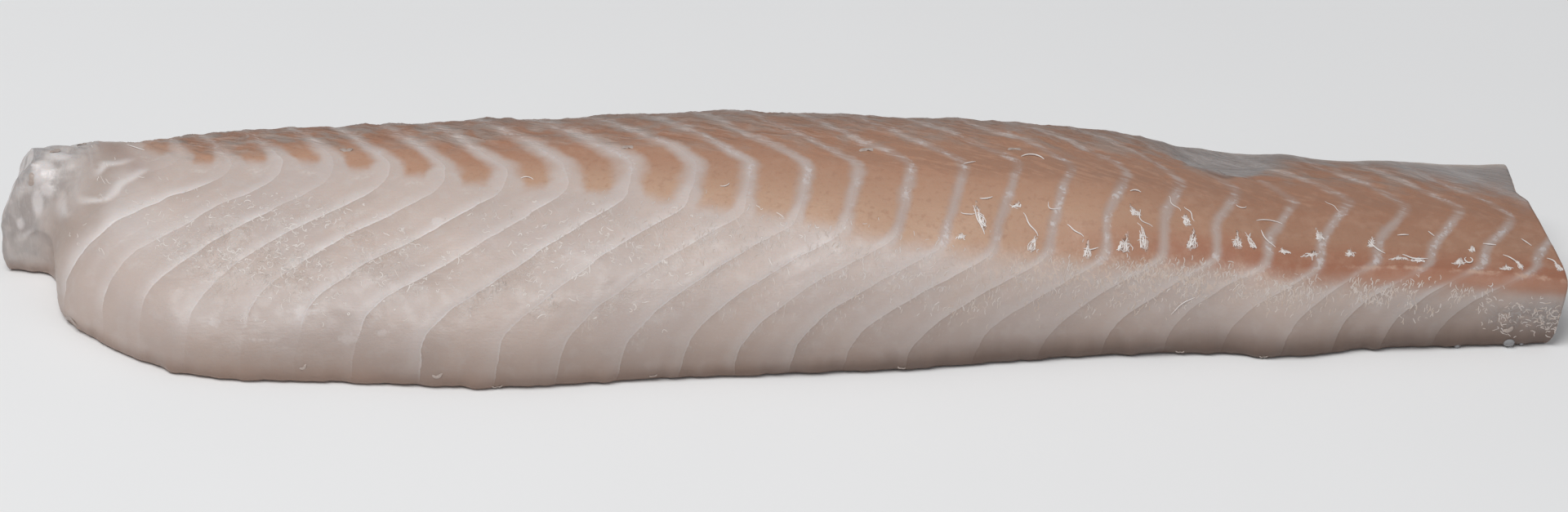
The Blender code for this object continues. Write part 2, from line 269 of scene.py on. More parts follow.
def end_lean(u, y, z):
    """Sum of straight leans, each its rate times how far the point lies past its limit."""
    low, high, corner = HEAD_TOP_CORNER
    head = HEAD_CUT_LEAN * above(HEAD_LEAN_ABOVE, z) + corner * smooth(low, high, z) - HEAD_NOSE
    head = head + HEAD_FOOT_CORNER[1] * above(0, HEAD_FOOT_CORNER[0] - z)
    head = head + HEAD_BACK_CORNER[1] * above(HEAD_BACK_CORNER[0], y)
    low, high, step = TAIL_FLAP_STEP
    tail = TAIL_CUT_SLANT * np.clip(y + TAIL_SLANT_REACH[0], 0, TAIL_SLANT_REACH[1])
    tail = tail + step * smooth(low, high, y) + TAIL_BACK_CORNER[1] * above(TAIL_BACK_CORNER[0], y)
    tail = tail + TAIL_UNDERCUT[1] * above(0, TAIL_UNDERCUT[0] - z)
    tail = tail + TAIL_FOOT_CORNER[1] * above(0, TAIL_FOOT_CORNER[0] - z)
    return (1 - smooth(*HEAD_CUT_FADES, u)) * head - smooth(*TAIL_CUT_FADES, u) * tail


X = U + end_lean(U, Y, Z)
print("length with both cuts: %.1f mm" % (X.max() - X.min()))

# %% [markdown]
# ## Where one flake ends and the next begins
#
# Each flake is a cone-shaped muscle segment, so the line between two flakes is bent: from the foot
# it climbs steeply, runs up the white face on a slant, turns at the knee, and bends back at the
# apex on top. Instead of drawing thirty lines, one formula counts the flakes. It straightens the
# bent lines first, by moving every point along the loin by the bend at its place round the
# section, and then reads the count from the stations. The lines are where the count is a whole
# number, and the part behind the comma says how far across a flake a point lies.

# %% The flake count
FLAKE_COUNT = ((-210, -5), (-132, 1.1), (-93, 4.1), (-51, 7), (-20, 9.0), (57, 14.9), (85, 17),
               (112, 19), (139, 21), (153, 22), (166.5, 23), (179, 24), (192, 25), (200, 25.6))
HOOK_AT = ((-180, 11), (-130, 22), (-80, 16), (-20, 12.5), (50, 11.5), (110, 13), (170, 10))
KNEE_AT = ((-190, 57), (-140, 60), (-100, 57), (-60, 54.5), (-33, 50), (-9, 43), (16, 37), (39, 32),
           (65, 27.5), (92, 26), (130, 24.5), (168, 23), (190, 22))
WAIST_AT = ((-190, 62), (-60, 60), (20, 46), (65, 36), (92, 36), (115, 34), (140, 31), (170, 27.5),
            (190, 26))
APEX_AT = ((-190, 67), (-60, 65), (20, 59), (80, 56), (98, 52.5), (125, 49), (155, 45.5), (180, 43))
RUN_SLOPE = ((-180, 0.7), (-140, 1.2), (-100, 1.33), (-60, 1.21), (-30, 1.24), (0, 1.46),
             (20, 1.65), (60, 1.9), (100, 2.1), (180, 2.0))
LOW_FACE_SLOPE = ((-190, 0.4), (-60, 0), (20, 0.2), (50, 0.15), (75, 0), (100, 0.02), (125, 0.15),
                  (190, 0.1))
FACE_SLOPE = ((-190, 0.4), (-60, 0), (20, 0.2), (65, 0.36), (85, 0.4), (100, 0.5), (125, 0.58),
              (145, 0.68), (190, 0.7))
ARM_SLOPE = ((-190, -0.6), (20, -1.1), (120, -1.1), (190, -1.6))
BACK_WALL_SLOPE, BACK_WALL_HEIGHT = -0.35, 32.0
HOOK_ROUND, WAIST_ROUND, CORNER_ROUND = 7.0, 2.5, 2.0
KNEE_ROUND = ((-190, 4.0), (-60, 3.0), (0, 1.8), (190, 1.5))


def flake_count(x, s, girth):
    """The table's count at x - bend(s) + bend(apex). The bend is a sum of five rounded ramps, one
    for each place where a line turns, each with the change of slope at that place."""
    hook, knee, waist, apex = (along(x, table) for table in (HOOK_AT, KNEE_AT, WAIST_AT, APEX_AT))
    slopes = RUN_SLOPE, LOW_FACE_SLOPE, FACE_SLOPE, ARM_SLOPE
    run, low, face, arm = (along(x, table) for table in slopes)
    turns = ((hook, run, HOOK_ROUND), (knee, low - run, along(x, KNEE_ROUND)),
             (waist, face - low, WAIST_ROUND), (apex, arm - face, CORNER_ROUND),
             (girth - BACK_WALL_HEIGHT, BACK_WALL_SLOPE - arm, CORNER_ROUND))

    def bend(at):
        """Sum of turn * ramp(at - place, softness)."""
        return sum(turn * ramp(at - place, softness) for place, turn, softness in turns)

    return along(x - bend(s) + bend(apex), FLAKE_COUNT)


# A line drawn by a muscle is never exact: a slow wander moves it by up to half a millimetre.
LINE_WANDER = 0.035
COUNT = flake_count(X, S, GIRTH) + LINE_WANDER * rough(X / 9, S / 7, 11, 2)
WITHIN = COUNT - np.floor(COUNT)
print("flakes counted from %.1f to %.1f" % (COUNT.min(), COUNT.max()))

# %% [markdown]
# ## Borders of the regions
#
# The colours of a loin follow its anatomy. The dark muscle lies in a band along the top, and its
# lower border climbs towards the head. Above the band the surface is ragged, because the skin was
# pulled from it. Near the tail a pale flap of the other side's muscle lies behind the dark one,
# separated from it by a small drop. Each border is given by stations too, as a distance round the
# section from the front foot, and each region becomes a signed distance in millimetres from its
# border, so that both the relief and the paint can fade across it.

# %% Signed distances from the borders
BAND_EDGE = ((-190, 60), (-155, 61.5), (-130, 65), (-99, 62), (-73, 57.5), (-45, 53), (-19, 46),
             (10, 39), (29, 33.5), (56, 28.5), (78, 25.5), (107, 23), (127, 21), (146, 18.5),
             (166, 17.5), (190, 16))
FRINGE_EDGE = ((-190, 64), (-151, 66), (-120, 70), (-90, 73.5), (-50, 72.5), (-30, 69), (10, 67),
               (50, 66), (69, 63), (89, 59), (110, 57), (130, 56), (160, 51), (190, 48))
FLAP_STARTS, FLAP_LINE = (92.0, 106.0), 75.0
FLAP_LINE_FORWARD = ((96, 112, 17.0), (130, 190, 8.0))
# How far the flap, the lobe and the back wall fade across their borders, in millimetres.
FLAP_FADE, LOBE_FADE, WALL_FADE = (-0.8, 0.8), (-5, 2), (-2.0, 4.0)
RIDGE_LINE = ((100, 24.5), (135, 23.5), (163, 22.0), (180, 20.1), (190, 18.6))
FLAP_EDGE = ((92, 75), (104, 60), (110, 57.5), (116, 61), (124, 69), (133, 71), (147, 66),
             (161, 60), (172, 56), (183, 49.5), (190, 47))
CREASE_LINE = ((0, -178.5), (8, -178.5), (18, -176.5), (26, -172), (33, -168), (42, -167),
               (56, -165.5), (75, -165))

BAND = S - along(X, BAND_EDGE)
FRINGE = S - along(X, FRINGE_EDGE)
BEHIND = S - FLAP_LINE
for low, high, forward in FLAP_LINE_FORWARD:
    BEHIND = BEHIND + forward * smooth(low, high, U)
FLAP = smooth(*FLAP_STARTS, U) * smooth(*FLAP_FADE, BEHIND)
PALE_FLAP = S - along(X, FLAP_EDGE)
CREASE = X - along(S, CREASE_LINE)
LOBE = 1 - smooth(*LOBE_FADE, CREASE)
WALL = smooth(*WALL_FADE, S - GIRTH + BACK_WALL_HEIGHT - 3)
print("share of the surface in the band: %.0f %%" % (100 * (BAND > 0).mean()))

# %% [markdown]
# ## Small marks that a knife and a hand leave
#
# Some marks have a place of their own: the thick folds behind the head cut, wet blobs on the
# ragged lobe, scraps of white tissue on the dark muscle where the skin tore off, and a few pale
# scars. Each kind is a short list of places and sizes in millimetres, and a bell or a step puts
# it there. Here the lines between the flakes get their strength too.

# %% Strength of the lines between the flakes
HOOK_FADE, HEAD_PART = (-1.0, 8.0), (-108.0, -84.0)
PRESENCE_LENGTH, PRESENCE_RANGE = 13.0, (-0.55, 0.25)
FAINTEST, FAINTEST_GAIN = 0.25, 0.3
KNEE_FADE, KNEE_SHARE = (-6.0, 1.0), 0.75


def line_strength():
    """(1 - head part * S curve below the hook) * (1 - share * S curve above the knee) * (faintest +
    (1 - faintest) * presence). The presence is a slow random field along each line, so that the
    lines come and go. Lines before the first are drawn as head folds instead."""
    below, above_knee = along(X, HOOK_AT) - S, S - along(X, KNEE_AT)
    past_head = smooth(*HEAD_PART, X)
    faded = 1 - (1 - past_head) * smooth(*HOOK_FADE, below)
    faded = faded * (1 - KNEE_SHARE * smooth(*KNEE_FADE, above_knee))
    number = np.floor(COUNT + 0.5)
    faintest = FAINTEST + FAINTEST_GAIN * past_head
    presence = smooth(*PRESENCE_RANGE, field(3.7 * number, S / PRESENCE_LENGTH, 83))
    return faded * (faintest + (1 - faintest) * presence) * (number > 0)


LINE = line_strength()
print("mean strength of the lines: %.2f" % LINE.mean())

# %% Folds, wet blobs, torn lace and scars
# Head folds: each a line of (round, along) stations, with a painted highlight on the left
# and painted shade on the right.
HEAD_FOLDS = (((31, -171), (34.5, -167), (37.5, -163), (41, -160.5), (45, -159), (50, -156),
               (56, -153)),
              ((40, -167), (43, -165.5), (47, -164), (52, -160), (57, -157)),
              ((19, -176.5), (25, -173.5), (28, -171.5)),
              ((9, -186.5), (12, -184.5), (14.5, -181.5)))
# Wet blobs on the lobe, with painted highlights: (along, round, half length, half height).
WET_BLOBS = ((-180, 28.1, 3.0, 3.4), (-176.2, 33.6, 3.0, 2.4), (-181.5, 21, 1.8, 3.6),
             (-179.0, 24, 2.0, 2.0), (-186.1, 14.8, 1.2, 1.8))
# Torn lace stands on the lower edge of the dark muscle: (along, round at its foot, half width,
# height, lean of its top). Scars are soft white marks: (along, round, half length, half height).
LACE = ((83.2, 29.0, 2.0, 3.0, 0.6), (88.2, 29.6, 1.3, 6.5, -1.0), (86.5, 38.2, 1.0, 2.2, -1.5),
        (99.2, 29.2, 1.5, 4.2, 1.0), (98.8, 35.6, 0.8, 4.0, -0.8), (110.6, 29.8, 1.3, 3.4, 0.0),
        (114.4, 30.0, 0.7, 4.8, -1.8), (122.0, 29.4, 1.3, 1.0, -0.9), (127.5, 28.2, 2.0, 0.9, 1.6),
        (130.9, 33.6, 1.1, 3.4, -0.5), (137.6, 27.2, 1.3, 1.5, 0.2), (149.6, 25.7, 2.0, 0.7, 0.0),
        (154.0, 25.2, 1.7, 0.6, 0.4), (163.8, 24.2, 1.9, 1.2, 0.5), (175.2, 22.5, 1.5, 0.9, 0.0),
        (178.9, 22.8, 0.7, 3.0, -1.4), (167.5, 28.5, 0.9, 1.4, 0.3), (188.2, 22.2, 0.8, 2.4, -1.0),
        (74.3, 27.8, 1.0, 3.0, 0.3), (60.8, 30.2, 1.0, 4.0, 1.4), (49.6, 36.8, 0.6, 5.5, -1.8),
        (43.8, 34.2, 1.1, 1.1, 0.6), (57.4, 42.0, 1.4, 0.7, 0.9), (142.8, 30.0, 0.7, 3.2, 1.3))
SCARS = ((-112.3, 18.3, 1.4, 2.8), (-111.5, 18.9, 5.5, 0.8), (-101.5, 12.6, 3.0, 1.5),
         (-81.3, 45.2, 1.9, 1.5), (-133.5, 15.6, 1.6, 1.6), (-126.0, 16.8, 0.9, 2.6),
         (-122.0, 11.6, 5.0, 0.5), (-93.0, 14.5, 2.2, 0.9))


def head_folds():
    """The greatest crest, and the greatest lee beside it, over the folds. With the distance d from
    a fold's line, the crest climbs from d = -1.9 mm and drops at 0, and the lee fades by 4 mm."""
    crest, lee = 0 * X, 0 * X
    for table in HEAD_FOLDS:
        low, high, distance = table[0][0], table[-1][0], 0.8 * (X - along(S, table))
        there = smooth(low - 1, low + 5, S) * (1 - smooth(high - 4, high + 1, S))
        climb, fade = smooth(-1.9, -0.2, distance), 1 - smooth(0.7, 4, distance)
        crest = np.maximum(crest, there * climb * (1 - smooth(0, 0.6, distance)))
        lee = np.maximum(lee, there * smooth(0.1, 0.7, distance) * fade)
    return crest, lee


def torn_lace():
    """Three bells for each scrap, at its foot, half way up and at its top, ever narrower."""
    return [(x0 + lean * up, s0 + tall * up, half * (1 - 0.6 * up), 0.7 + 0.32 * tall)
            for x0, s0, half, tall, lean in LACE for up in (0.0, 0.5, 1.0)]


def spots(places):
    """The greatest of the bells e^-((x - x0)/a)^2 - ((s - s0)/b)^2 over (x0, s0, a, b)."""
    return np.max([hump(X, x0, a) * hump(S, s0, b) for x0, s0, a, b in places], axis=0)


FOLD_CREST_AND_HIGHLIGHT, FOLD_LEE_AND_SHADE = head_folds()
SHINE, LACE_MASK, SCAR = spots(WET_BLOBS), spots(torn_lace()), spots(SCARS)
print("small marks:", len(HEAD_FOLDS), "folds,", len(WET_BLOBS), "blobs,", len(LACE),
      "scraps of lace and", len(SCARS), "scars")

# %% [markdown]
# ## The relief
#
# Under a raking light the loin is far from smooth. Every flake overlaps the next one like a
# shingle and swells a little in its middle. The brown top is torn in strips along the fish. The
# head end has a ragged lobe behind a deep crease, and the foot, where the flesh met the board, is
# frayed. All of this is one height in millimetres over the smooth sections: each function below
# gives one of those things, and the last one adds them up.

# %% Height of the flakes, the waves and the torn top
FLAKE_STEP, FLAKE_DROP, FLAKE_MIDDLE, FLAKE_SWELL = 0.27, (0.90, 1.0), 0.42, 0.07
# The shingles grow to their full step after the head, and sink towards the tail and in the band.
HEAD_GROWS, TAIL_SINKS, BAND_SINKS = (-120, -60), (-20, 70), (-2, 3)
WAVE_HEIGHT, LUMP_HEIGHT, GRAIN_HEIGHT = 0.30, 0.10, 0.035
STRIP_HEIGHT, STREAK_HEIGHT, TORN_HEIGHT = 0.24, 0.14, 0.20
# Cells of the random fields, (along, round).
LUMP_CELL, GRAIN_CELL = (7, 5), (2.2, 1.8)
STRIP_CELL, STREAK_CELL, TORN_CELL = (14, 3.4), (6, 1.8), (3, 3.5)
TORN_FADE, TORN_AFTER_HEAD, TORN_SLANT = (-5, 3), (-186, -165), 0.35


def cells(cell, s=S):
    """Place along and round, counted in cells."""
    return X / cell[0], s / cell[1]


def flake_relief():
    """A shingle for each flake, step * (within * (1 - S curve of the drop) - middle), lower where
    the lines are faint and towards the tail, and a swelling sin(pi within)."""
    shingle = FLAKE_STEP * (WITHIN * (1 - smooth(*FLAKE_DROP, WITHIN)) - FLAKE_MIDDLE)
    swelling = 0.6 + 0.4 * field(np.floor(COUNT) + 0.5, S / 40, 5)
    quiet = (0.7 + 0.3 * smooth(*HEAD_GROWS, X)) * (1 - 0.75 * smooth(*TAIL_SINKS, X))
    quiet = quiet * (1 - 0.5 * smooth(*BAND_SINKS, BAND)) * (0.25 + 0.75 * LINE)
    return (shingle * quiet + FLAKE_SWELL * np.sin(math.pi * WITHIN) * swelling) * (1 - LOBE)


def wave_relief():
    """Slow waves, each a product or a sine of straight phases, and finer random lumps."""
    waves = np.sin(0.21 * X + 0.9) * np.sin(0.11 * S + 0.4) + 0.7 * np.sin(0.087 * X + 0.16 * S)
    fine = LUMP_HEIGHT * rough(*cells(LUMP_CELL), 31)
    fine = fine + GRAIN_HEIGHT * rough(*cells(GRAIN_CELL), 37, 2)
    return WAVE_HEIGHT * waves + fine


def torn_relief():
    """Ridged strips on a slant, streaks and lumps above the fringe border."""
    torn = smooth(*TORN_FADE, FRINGE) * (1 - FLAP) * (1 - WALL) * smooth(*TORN_AFTER_HEAD, X)
    slanted = S + TORN_SLANT * X
    strips = STRIP_HEIGHT * ridged(*cells(STRIP_CELL, slanted), 41)
    strips = strips + STREAK_HEIGHT * rough(*cells(STREAK_CELL, slanted), 47)
    return torn * (strips + TORN_HEIGHT * rough(*cells(TORN_CELL), 53))


print("a flake stands %.2f mm over the next" % FLAKE_STEP)

# %% Height of the flap and of the head end
FLAP_DROP, FLAP_RECOVERS, FLAP_SINK, FLAP_FOLD = 1.5, (2.0, 15.0, 0.75), 0.25, 0.16
SADDLE_ENDS, SINK_FADE, FOLDS_START, FOLDS_END = (116, 128), (-8, 10), (96, 108), (150, 172)
# Humps: (along, round, half size, height).
FLAP_HUMPS = ((126, 73, 7, 0.8), (103, 74, 5, 0.5))
# The crease: half width and depth in mm, and (from, to, change) near its foot and its top.
CREASE_HALF, CREASE_DEPTH, CREASE_FOOT, CREASE_TOP = 3.6, 0.7, (3, 16, 0.9), (28, 42, 0.5)
# Lumps of the lobe: (height, size, seed).
LOBE_WAVE, LOBE_LUMPS = 0.4, ((0.7, 8.0, 61), (0.08, 2.8, 63))


def lumps(x, y, z, size, seed):
    """Random lumps in space: the mean of three plane fields, one for each pair of axes."""
    x, y, z = x / size, y / size, z / size
    return (rough(x, y, seed) + rough(y, z, seed + 10) + rough(z, x, seed + 20)) / 3


def flap_relief():
    """The drop to the flap, which recovers behind the saddle, its wavy folds and its humps."""
    start, end, share = FLAP_RECOVERS
    near_saddle = 1 - smooth(*SADDLE_ENDS, U)
    drop = smooth(*FLAP_FADE, BEHIND) * (1 - share * smooth(start, end, BEHIND)) * near_saddle
    sink = FLAP_SINK * smooth(*SINK_FADE, BEHIND) * (1 - near_saddle)
    folds = np.sin(1.25 * (S + 0.22 * X) + 1.4 * field(X / 16, S / 12, 59))
    folds = FLAP_FOLD * FLAP * folds * smooth(*FOLDS_START, X) * (1 - smooth(*FOLDS_END, X))
    humps = sum(high * hump(X, x0, half) * hump(S, s0, half) for x0, s0, half, high in FLAP_HUMPS)
    return folds + humps - FLAP_DROP * smooth(*FLAP_STARTS, U) * (drop + sink)


def head_relief():
    """The crease behind the lobe, deepest at the foot, and the waves and lumps of the lobe."""
    low, high, deeper = CREASE_FOOT
    depth = CREASE_DEPTH + deeper * (1 - smooth(low, high, S))
    low, high, shallower = CREASE_TOP
    depth = depth - shallower * smooth(low, high, S)
    crags = sum(high * lumps(X, Y, Z, size, seed) for high, size, seed in LOBE_LUMPS)
    crags = crags + LOBE_WAVE * np.sin(0.62 * S + 1.3) * np.sin(0.55 * U + 0.21 * S)
    return LOBE * crags - depth * hump(CREASE, 0, CREASE_HALF)


print("humps of the flap:", len(FLAP_HUMPS))

# %% All the heights together
BLOB_HEIGHT, LACE_HEIGHT, CREST_HEIGHT, LEE_DEPTH = 0.45, 0.14, 0.24, 0.08
RIDGE_HEIGHT, RIDGE_HALF, RIDGE_STARTS = 0.30, 0.75, (128, 150)
# Above the board: where the relief fades, and where the frayed edge is (middle, half height).
FOOT_FADE, FRAY_FADE, FRAY_AT = (0.3, 5.0), (0.0, 0.6), (1.4, 2.2)
FRAY_HEIGHT, FRAY_CELL = 0.42, 4.5
# Bulges of the foot: (along, half size, height).
FOOT_BULGES = ((-71, 2.6, 0.9), (116, 3.0, 0.8))


def relief():
    """The sum of all these, of the small features and of the tail's ridge, fading out at the foot,
    where the frayed edge is added instead."""
    height = flake_relief() + wave_relief() + torn_relief() + flap_relief() + head_relief()
    height = height + BLOB_HEIGHT * SHINE + LACE_HEIGHT * LACE_MASK
    height = height + CREST_HEIGHT * FOLD_CREST_AND_HIGHLIGHT - LEE_DEPTH * FOLD_LEE_AND_SHADE
    broken = 0.4 + 0.6 * smooth(-0.4, 0.4, field(X / 5, 0 * X + 0.3, 89))
    ridge = RIDGE_HEIGHT * hump(S - along(X, RIDGE_LINE), 0, RIDGE_HALF)
    height = (height + broken * smooth(*RIDGE_STARTS, X) * ridge) * smooth(*FOOT_FADE, Z)
    frayed = FRAY_HEIGHT * rough(X / FRAY_CELL, 0 * X + 0.4, 67)
    frayed = frayed + sum(high * hump(X, x0, half) for x0, half, high in FOOT_BULGES)
    return height + frayed * hump(Z, *FRAY_AT) * smooth(*FRAY_FADE, Z)


RELIEF = relief()
print("relief from %.2f to %.2f mm" % (RELIEF.min(), RELIEF.max()))

# %% [markdown]
# ## Lifting the surface
#
# The height has to be added straight outwards. The outward direction at a point is the cross
# product of two arrows in the surface, one along the loin and one round it, and numpy finds both
# from the neighbouring points. The same arrows tell how wide a flake is at each place, measured
# across its lines, which the paint needs later to draw lines of an even width.

# %% Outward direction, flake width, and the lifted surface
SMOOTH_PLACE = np.stack([X, Y, Z], axis=2)
down_the_loin, round_the_loin = np.gradient(SMOOTH_PLACE, axis=0), np.gradient(SMOOTH_PLACE, axis=1)
OUTWARD = np.cross(down_the_loin, round_the_loin)
OUTWARD = OUTWARD / np.linalg.norm(OUTWARD, axis=2, keepdims=True)


def flake_width():
    """1 / |gradient of the count|. With the surface arrows a and b and the steps ca and cb of the
    count along them, |gradient|^2 = (ca^2 b.b - 2 ca cb a.b + cb^2 a.a) / (a.a b.b - (a.b)^2)."""
    a, b = down_the_loin, round_the_loin
    aa, bb, ab = (a * a).sum(2), (b * b).sum(2), (a * b).sum(2)
    smooth_count = flake_count(X, S, GIRTH)
    ca, cb = np.gradient(smooth_count, axis=0), np.gradient(smooth_count, axis=1)
    squared = (ca * ca * bb - 2 * ca * cb * ab + cb * cb * aa) / np.maximum(aa * bb - ab * ab, 1e-9)
    return 1 / np.sqrt(np.maximum(squared, 1e-4))


WIDTH = flake_width()
UPPER = SMOOTH_PLACE + OUTWARD * RELIEF[:, :, None]
UPPER[:, :, 2] = np.maximum(UPPER[:, :, 2], 0)
UPPER[:, (0, -1), 2] = 0
print("a flake is %.1f mm wide at the median, across its lines" % np.median(WIDTH))

# %% [markdown]
# ## Underside and end cuts
#
# The piece has to be closed, or light would shine into it. The underside is flat, since wet fish
# settles on the board, so each ring closes with evenly spaced points between its two feet. Each
# end cut is a fan of ever smaller copies of the last ring, bulged a little, with the curved edges
# of the flakes showing on the tail cut, where the knife went through them.

# %% Rings that close the body
UNDER_SHARE = np.linspace(0, 1, UNDER_POINTS + 2)[1:-1][None, :]
CAP_SCALES = np.array([0.985, 0.96, 0.925, 0.88, 0.82, 0.75, 0.67, 0.58, 0.48, 0.37, 0.25, 0.12])
CAP_CENTRE, CAP_UNEVEN, CAP_LUMPS = 0.46, 0.35, 0.3
HEAD_CAP_BULGE, TAIL_CAP_BULGE = -1.6, 0.5
TAIL_CAP_FLAKE, TAIL_CAP_FLAKE_WIDTH, TAIL_CAP_FLAKE_CENTRE = 0.5, 7.5, (6.0, -4.0)


def with_underside(values):
    """Each row closed across the underside: last * (1 - share) + first * share."""
    share = UNDER_SHARE if values.ndim == 2 else UNDER_SHARE[:, :, None]
    return np.concatenate([values, values[:, -1:] * (1 - share) + values[:, :1] * share], axis=1)


def end_arcs(y, z):
    """Count of the curved flakes on the tail cut: distance from a point below it / their width."""
    centre_y, centre_z = TAIL_CAP_FLAKE_CENTRE
    return np.hypot(y - centre_y, z - centre_z) / TAIL_CAP_FLAKE_WIDTH


def cut_end(ring, bulge, flake_height, seed):
    """Rings centre + (ring - centre) * scale, moved along X by bulge (1 - scale^4), by the
    shingles of the curved flakes and by random lumps, and the point in their middle."""
    centre = ring.mean(axis=0)
    centre[2] = CAP_CENTRE * ring[:, 2].max()
    scale = CAP_SCALES[:, None, None]
    rings = centre + (ring[None] - centre) * scale
    y, z = rings[:, :, 1], rings[:, :, 2]
    arcs = end_arcs(y, z)
    uneven = CAP_UNEVEN * np.sin(0.55 * y + 2.0) * np.sin(0.6 * z + 1.0)
    uneven = uneven + CAP_LUMPS * rough(y / 4, z / 4, seed)
    uneven = uneven + flake_height * (arcs - np.floor(arcs) - 0.5)
    inward = scale[:, :, 0]
    rings[:, :, 0] += bulge * (1 - inward ** 4) + uneven * (1 - inward ** 12)
    tip = centre.copy()
    tip[0] = rings[-1][:, 0].mean()
    return rings, tip


BODY = with_underside(UPPER)
head_rings, head_tip = cut_end(BODY[0], HEAD_CAP_BULGE, 0, 71)
tail_rings, tail_tip = cut_end(BODY[-1], TAIL_CAP_BULGE, TAIL_CAP_FLAKE, 73)
CAPS = len(CAP_SCALES)
print("rings:", CAPS + RINGS + CAPS, "of", UPPER_POINTS + UNDER_POINTS, "points")

# %% [markdown]
# ## From arrays to a mesh
#
# A mesh is a list of points and a list of faces. In a grid, face (i, j) joins the points (i, j),
# (i+1, j), (i+1, j+1) and (i, j+1), so the whole face list is arithmetic on index arrays. They are
# named in the order that runs anticlockwise seen from outside, which makes the face look outwards.
# What the paint has to know about a point, such as its flake count, is stored as an attribute.

# %% Mesh helpers
SHIFT = np.array([1.035, 3.427, 0.0])      # brings the solid's bottom centre to the origin


def mesh_piece(name, points, faces, attributes, material):
    """One object at the origin from points in millimetres, faces and named values per point."""
    mesh = bpy.data.meshes.new(name)
    mesh.from_pydata((np.asarray(points) * MM).tolist(), [], faces)
    for title, values in attributes.items():
        layer = mesh.attributes.new(title, "FLOAT", "POINT")
        layer.data.foreach_set("value", np.ascontiguousarray(values, dtype=np.float32).ravel())
    mesh.shade_smooth()
    mesh.materials.append(material)
    piece = bpy.data.objects.new(name, mesh)
    bpy.context.scene.collection.objects.link(piece)
    return piece


def ring_faces(rows, columns):
    """Faces of a grid whose rows are closed rings: point (i, j) has the number i * columns + j."""
    i, j = np.meshgrid(np.arange(rows - 1), np.arange(columns), indexing="ij")
    after = (j + 1) % columns
    faces = np.stack([i * columns + j, (i + 1) * columns + j,
                      (i + 1) * columns + after, i * columns + after], axis=-1)
    return faces.reshape(-1, 4)


def closed_faces(rows, columns):
    """Quads between the rings, and triangles that close both ends on two tips, which are numbered
    after all the ring points: first the tip of the first ring, then that of the last one."""
    j = np.arange(columns)
    after, last = (j + 1) % columns, (rows - 1) * columns
    start = np.stack([j, after, j * 0 + rows * columns], axis=1)
    end = np.stack([last + after, last + j, j * 0 + rows * columns + 1], axis=1)
    return ring_faces(rows, columns), np.concatenate([start, end])


def many_closed(rings, tips):
    """All the pieces at once: the points of every piece, rings first and then its two tips, and
    the faces of the first piece, numbered on for each piece that follows."""
    count, rows, columns = rings.shape[:3]
    points = np.concatenate([rings.reshape(count, -1, 3), tips], axis=1)
    first = np.arange(count)[:, None, None] * points.shape[1]
    faces = []
    for kind in closed_faces(rows, columns):
        faces += (kind[None] + first).reshape(-1, kind.shape[1]).tolist()
    return points.reshape(-1, 3) + SHIFT, faces


print("eight closed rings of four points:", sum(map(len, closed_faces(8, 4))), "faces")

# %% Points, faces and attributes of the loin
PLACES = np.concatenate([head_rings[::-1], BODY, tail_rings]) + SHIFT
around = PLACES.shape[1]
rows = len(PLACES)
POINTS = np.concatenate([PLACES.reshape(-1, 3), [head_tip + SHIFT, tail_tip + SHIFT]])
QUADS, TIPS = closed_faces(rows, around)
FACES = QUADS.tolist() + TIPS.tolist()


def everywhere(values, head=None, tail=None):
    """A value for every point: rows of the body, then the caps' own values or a copy of the
    rings that they start from, then the two middles."""
    body = with_underside(values)
    if head is None:
        head = np.repeat(body[:1], CAPS, axis=0)
    if tail is None:
        tail = np.repeat(body[-1:], CAPS, axis=0)
    parts = [head[::-1], body, tail]
    middle = [head[-1].mean(), tail[-1].mean()]
    return np.concatenate([part.reshape(-1) for part in parts] + [middle])


def rim_depth(ring, rings):
    """How far a cap's points lie in from the rim, in millimetres."""
    return np.linalg.norm((rings - ring[None])[:, :, 1:], axis=2)


nothing, whole = 0 * S, np.ones((CAPS, around))
attributes = {title: everywhere(values) for title, values in {
    "flake": COUNT, "width": WIDTH, "round": S, "line": LINE, "band": BAND, "fringe": FRINGE,
    "ridge": S - along(X, RIDGE_LINE), "pale_flap": PALE_FLAP, "wall": WALL, "crease": CREASE,
    "fold_highlight": FOLD_CREST_AND_HIGHLIGHT, "fold_shade": FOLD_LEE_AND_SHADE, "shine": SHINE, "lace": LACE_MASK,
    "scar": SCAR}.items()}
attributes["head_cut"] = everywhere(nothing, head=whole)
attributes["tail_cut"] = everywhere(nothing, tail=whole)
attributes["rim"] = everywhere(nothing, rim_depth(BODY[0], head_rings),
                               rim_depth(BODY[-1], tail_rings))
attributes["arcs"] = everywhere(end_arcs(Y, Z), end_arcs(*np.moveaxis(head_rings, 2, 0)[1:]),
                                end_arcs(*np.moveaxis(tail_rings, 2, 0)[1:]))
print("loin mesh:", len(POINTS), "points,", 2 * len(FACES) - 2 * around, "triangles")

# %% [markdown]
# ## Painting with arithmetic
#
# A procedural material is a formula for colour, gloss and fine relief at each point. Blender
# writes such formulas as nodes joined by wires. To keep them readable, a small class wraps a wire
# so that plus, times and the other signs add the node that does the sum. Colours are given as the
# screen values 0 to 255 that one reads off a picture, and turned into light first.

# %% Wires
def maths(operation, backwards=False):
    """A method of a wire that adds one Math node. Backwards, the wire comes last."""
    def method(wire, *others):
        """The operation of the wire and the others."""
        values = (*others, wire) if backwards else (wire, *others)
        return wire.recipe.node("Math", {"operation": operation}, dict(enumerate(values)))
    return method


class Wire:
    """A node's output. Arithmetic on it adds a Math node and gives the result's wire."""

    def __init__(self, recipe, socket):
        """Keeps the recipe that the node stands in, and the node's output."""
        self.recipe, self.socket = recipe, socket

    __add__ = __radd__ = maths("ADD")
    __mul__ = __rmul__ = maths("MULTIPLY")
    __sub__, __rsub__ = maths("SUBTRACT"), maths("SUBTRACT", backwards=True)
    __truediv__ = maths("DIVIDE")
    fract, size = maths("FRACT"), maths("ABSOLUTE")
    least, most = maths("MINIMUM"), maths("MAXIMUM")


print("wires ready: plus, minus, times and divided by each add a Math node")

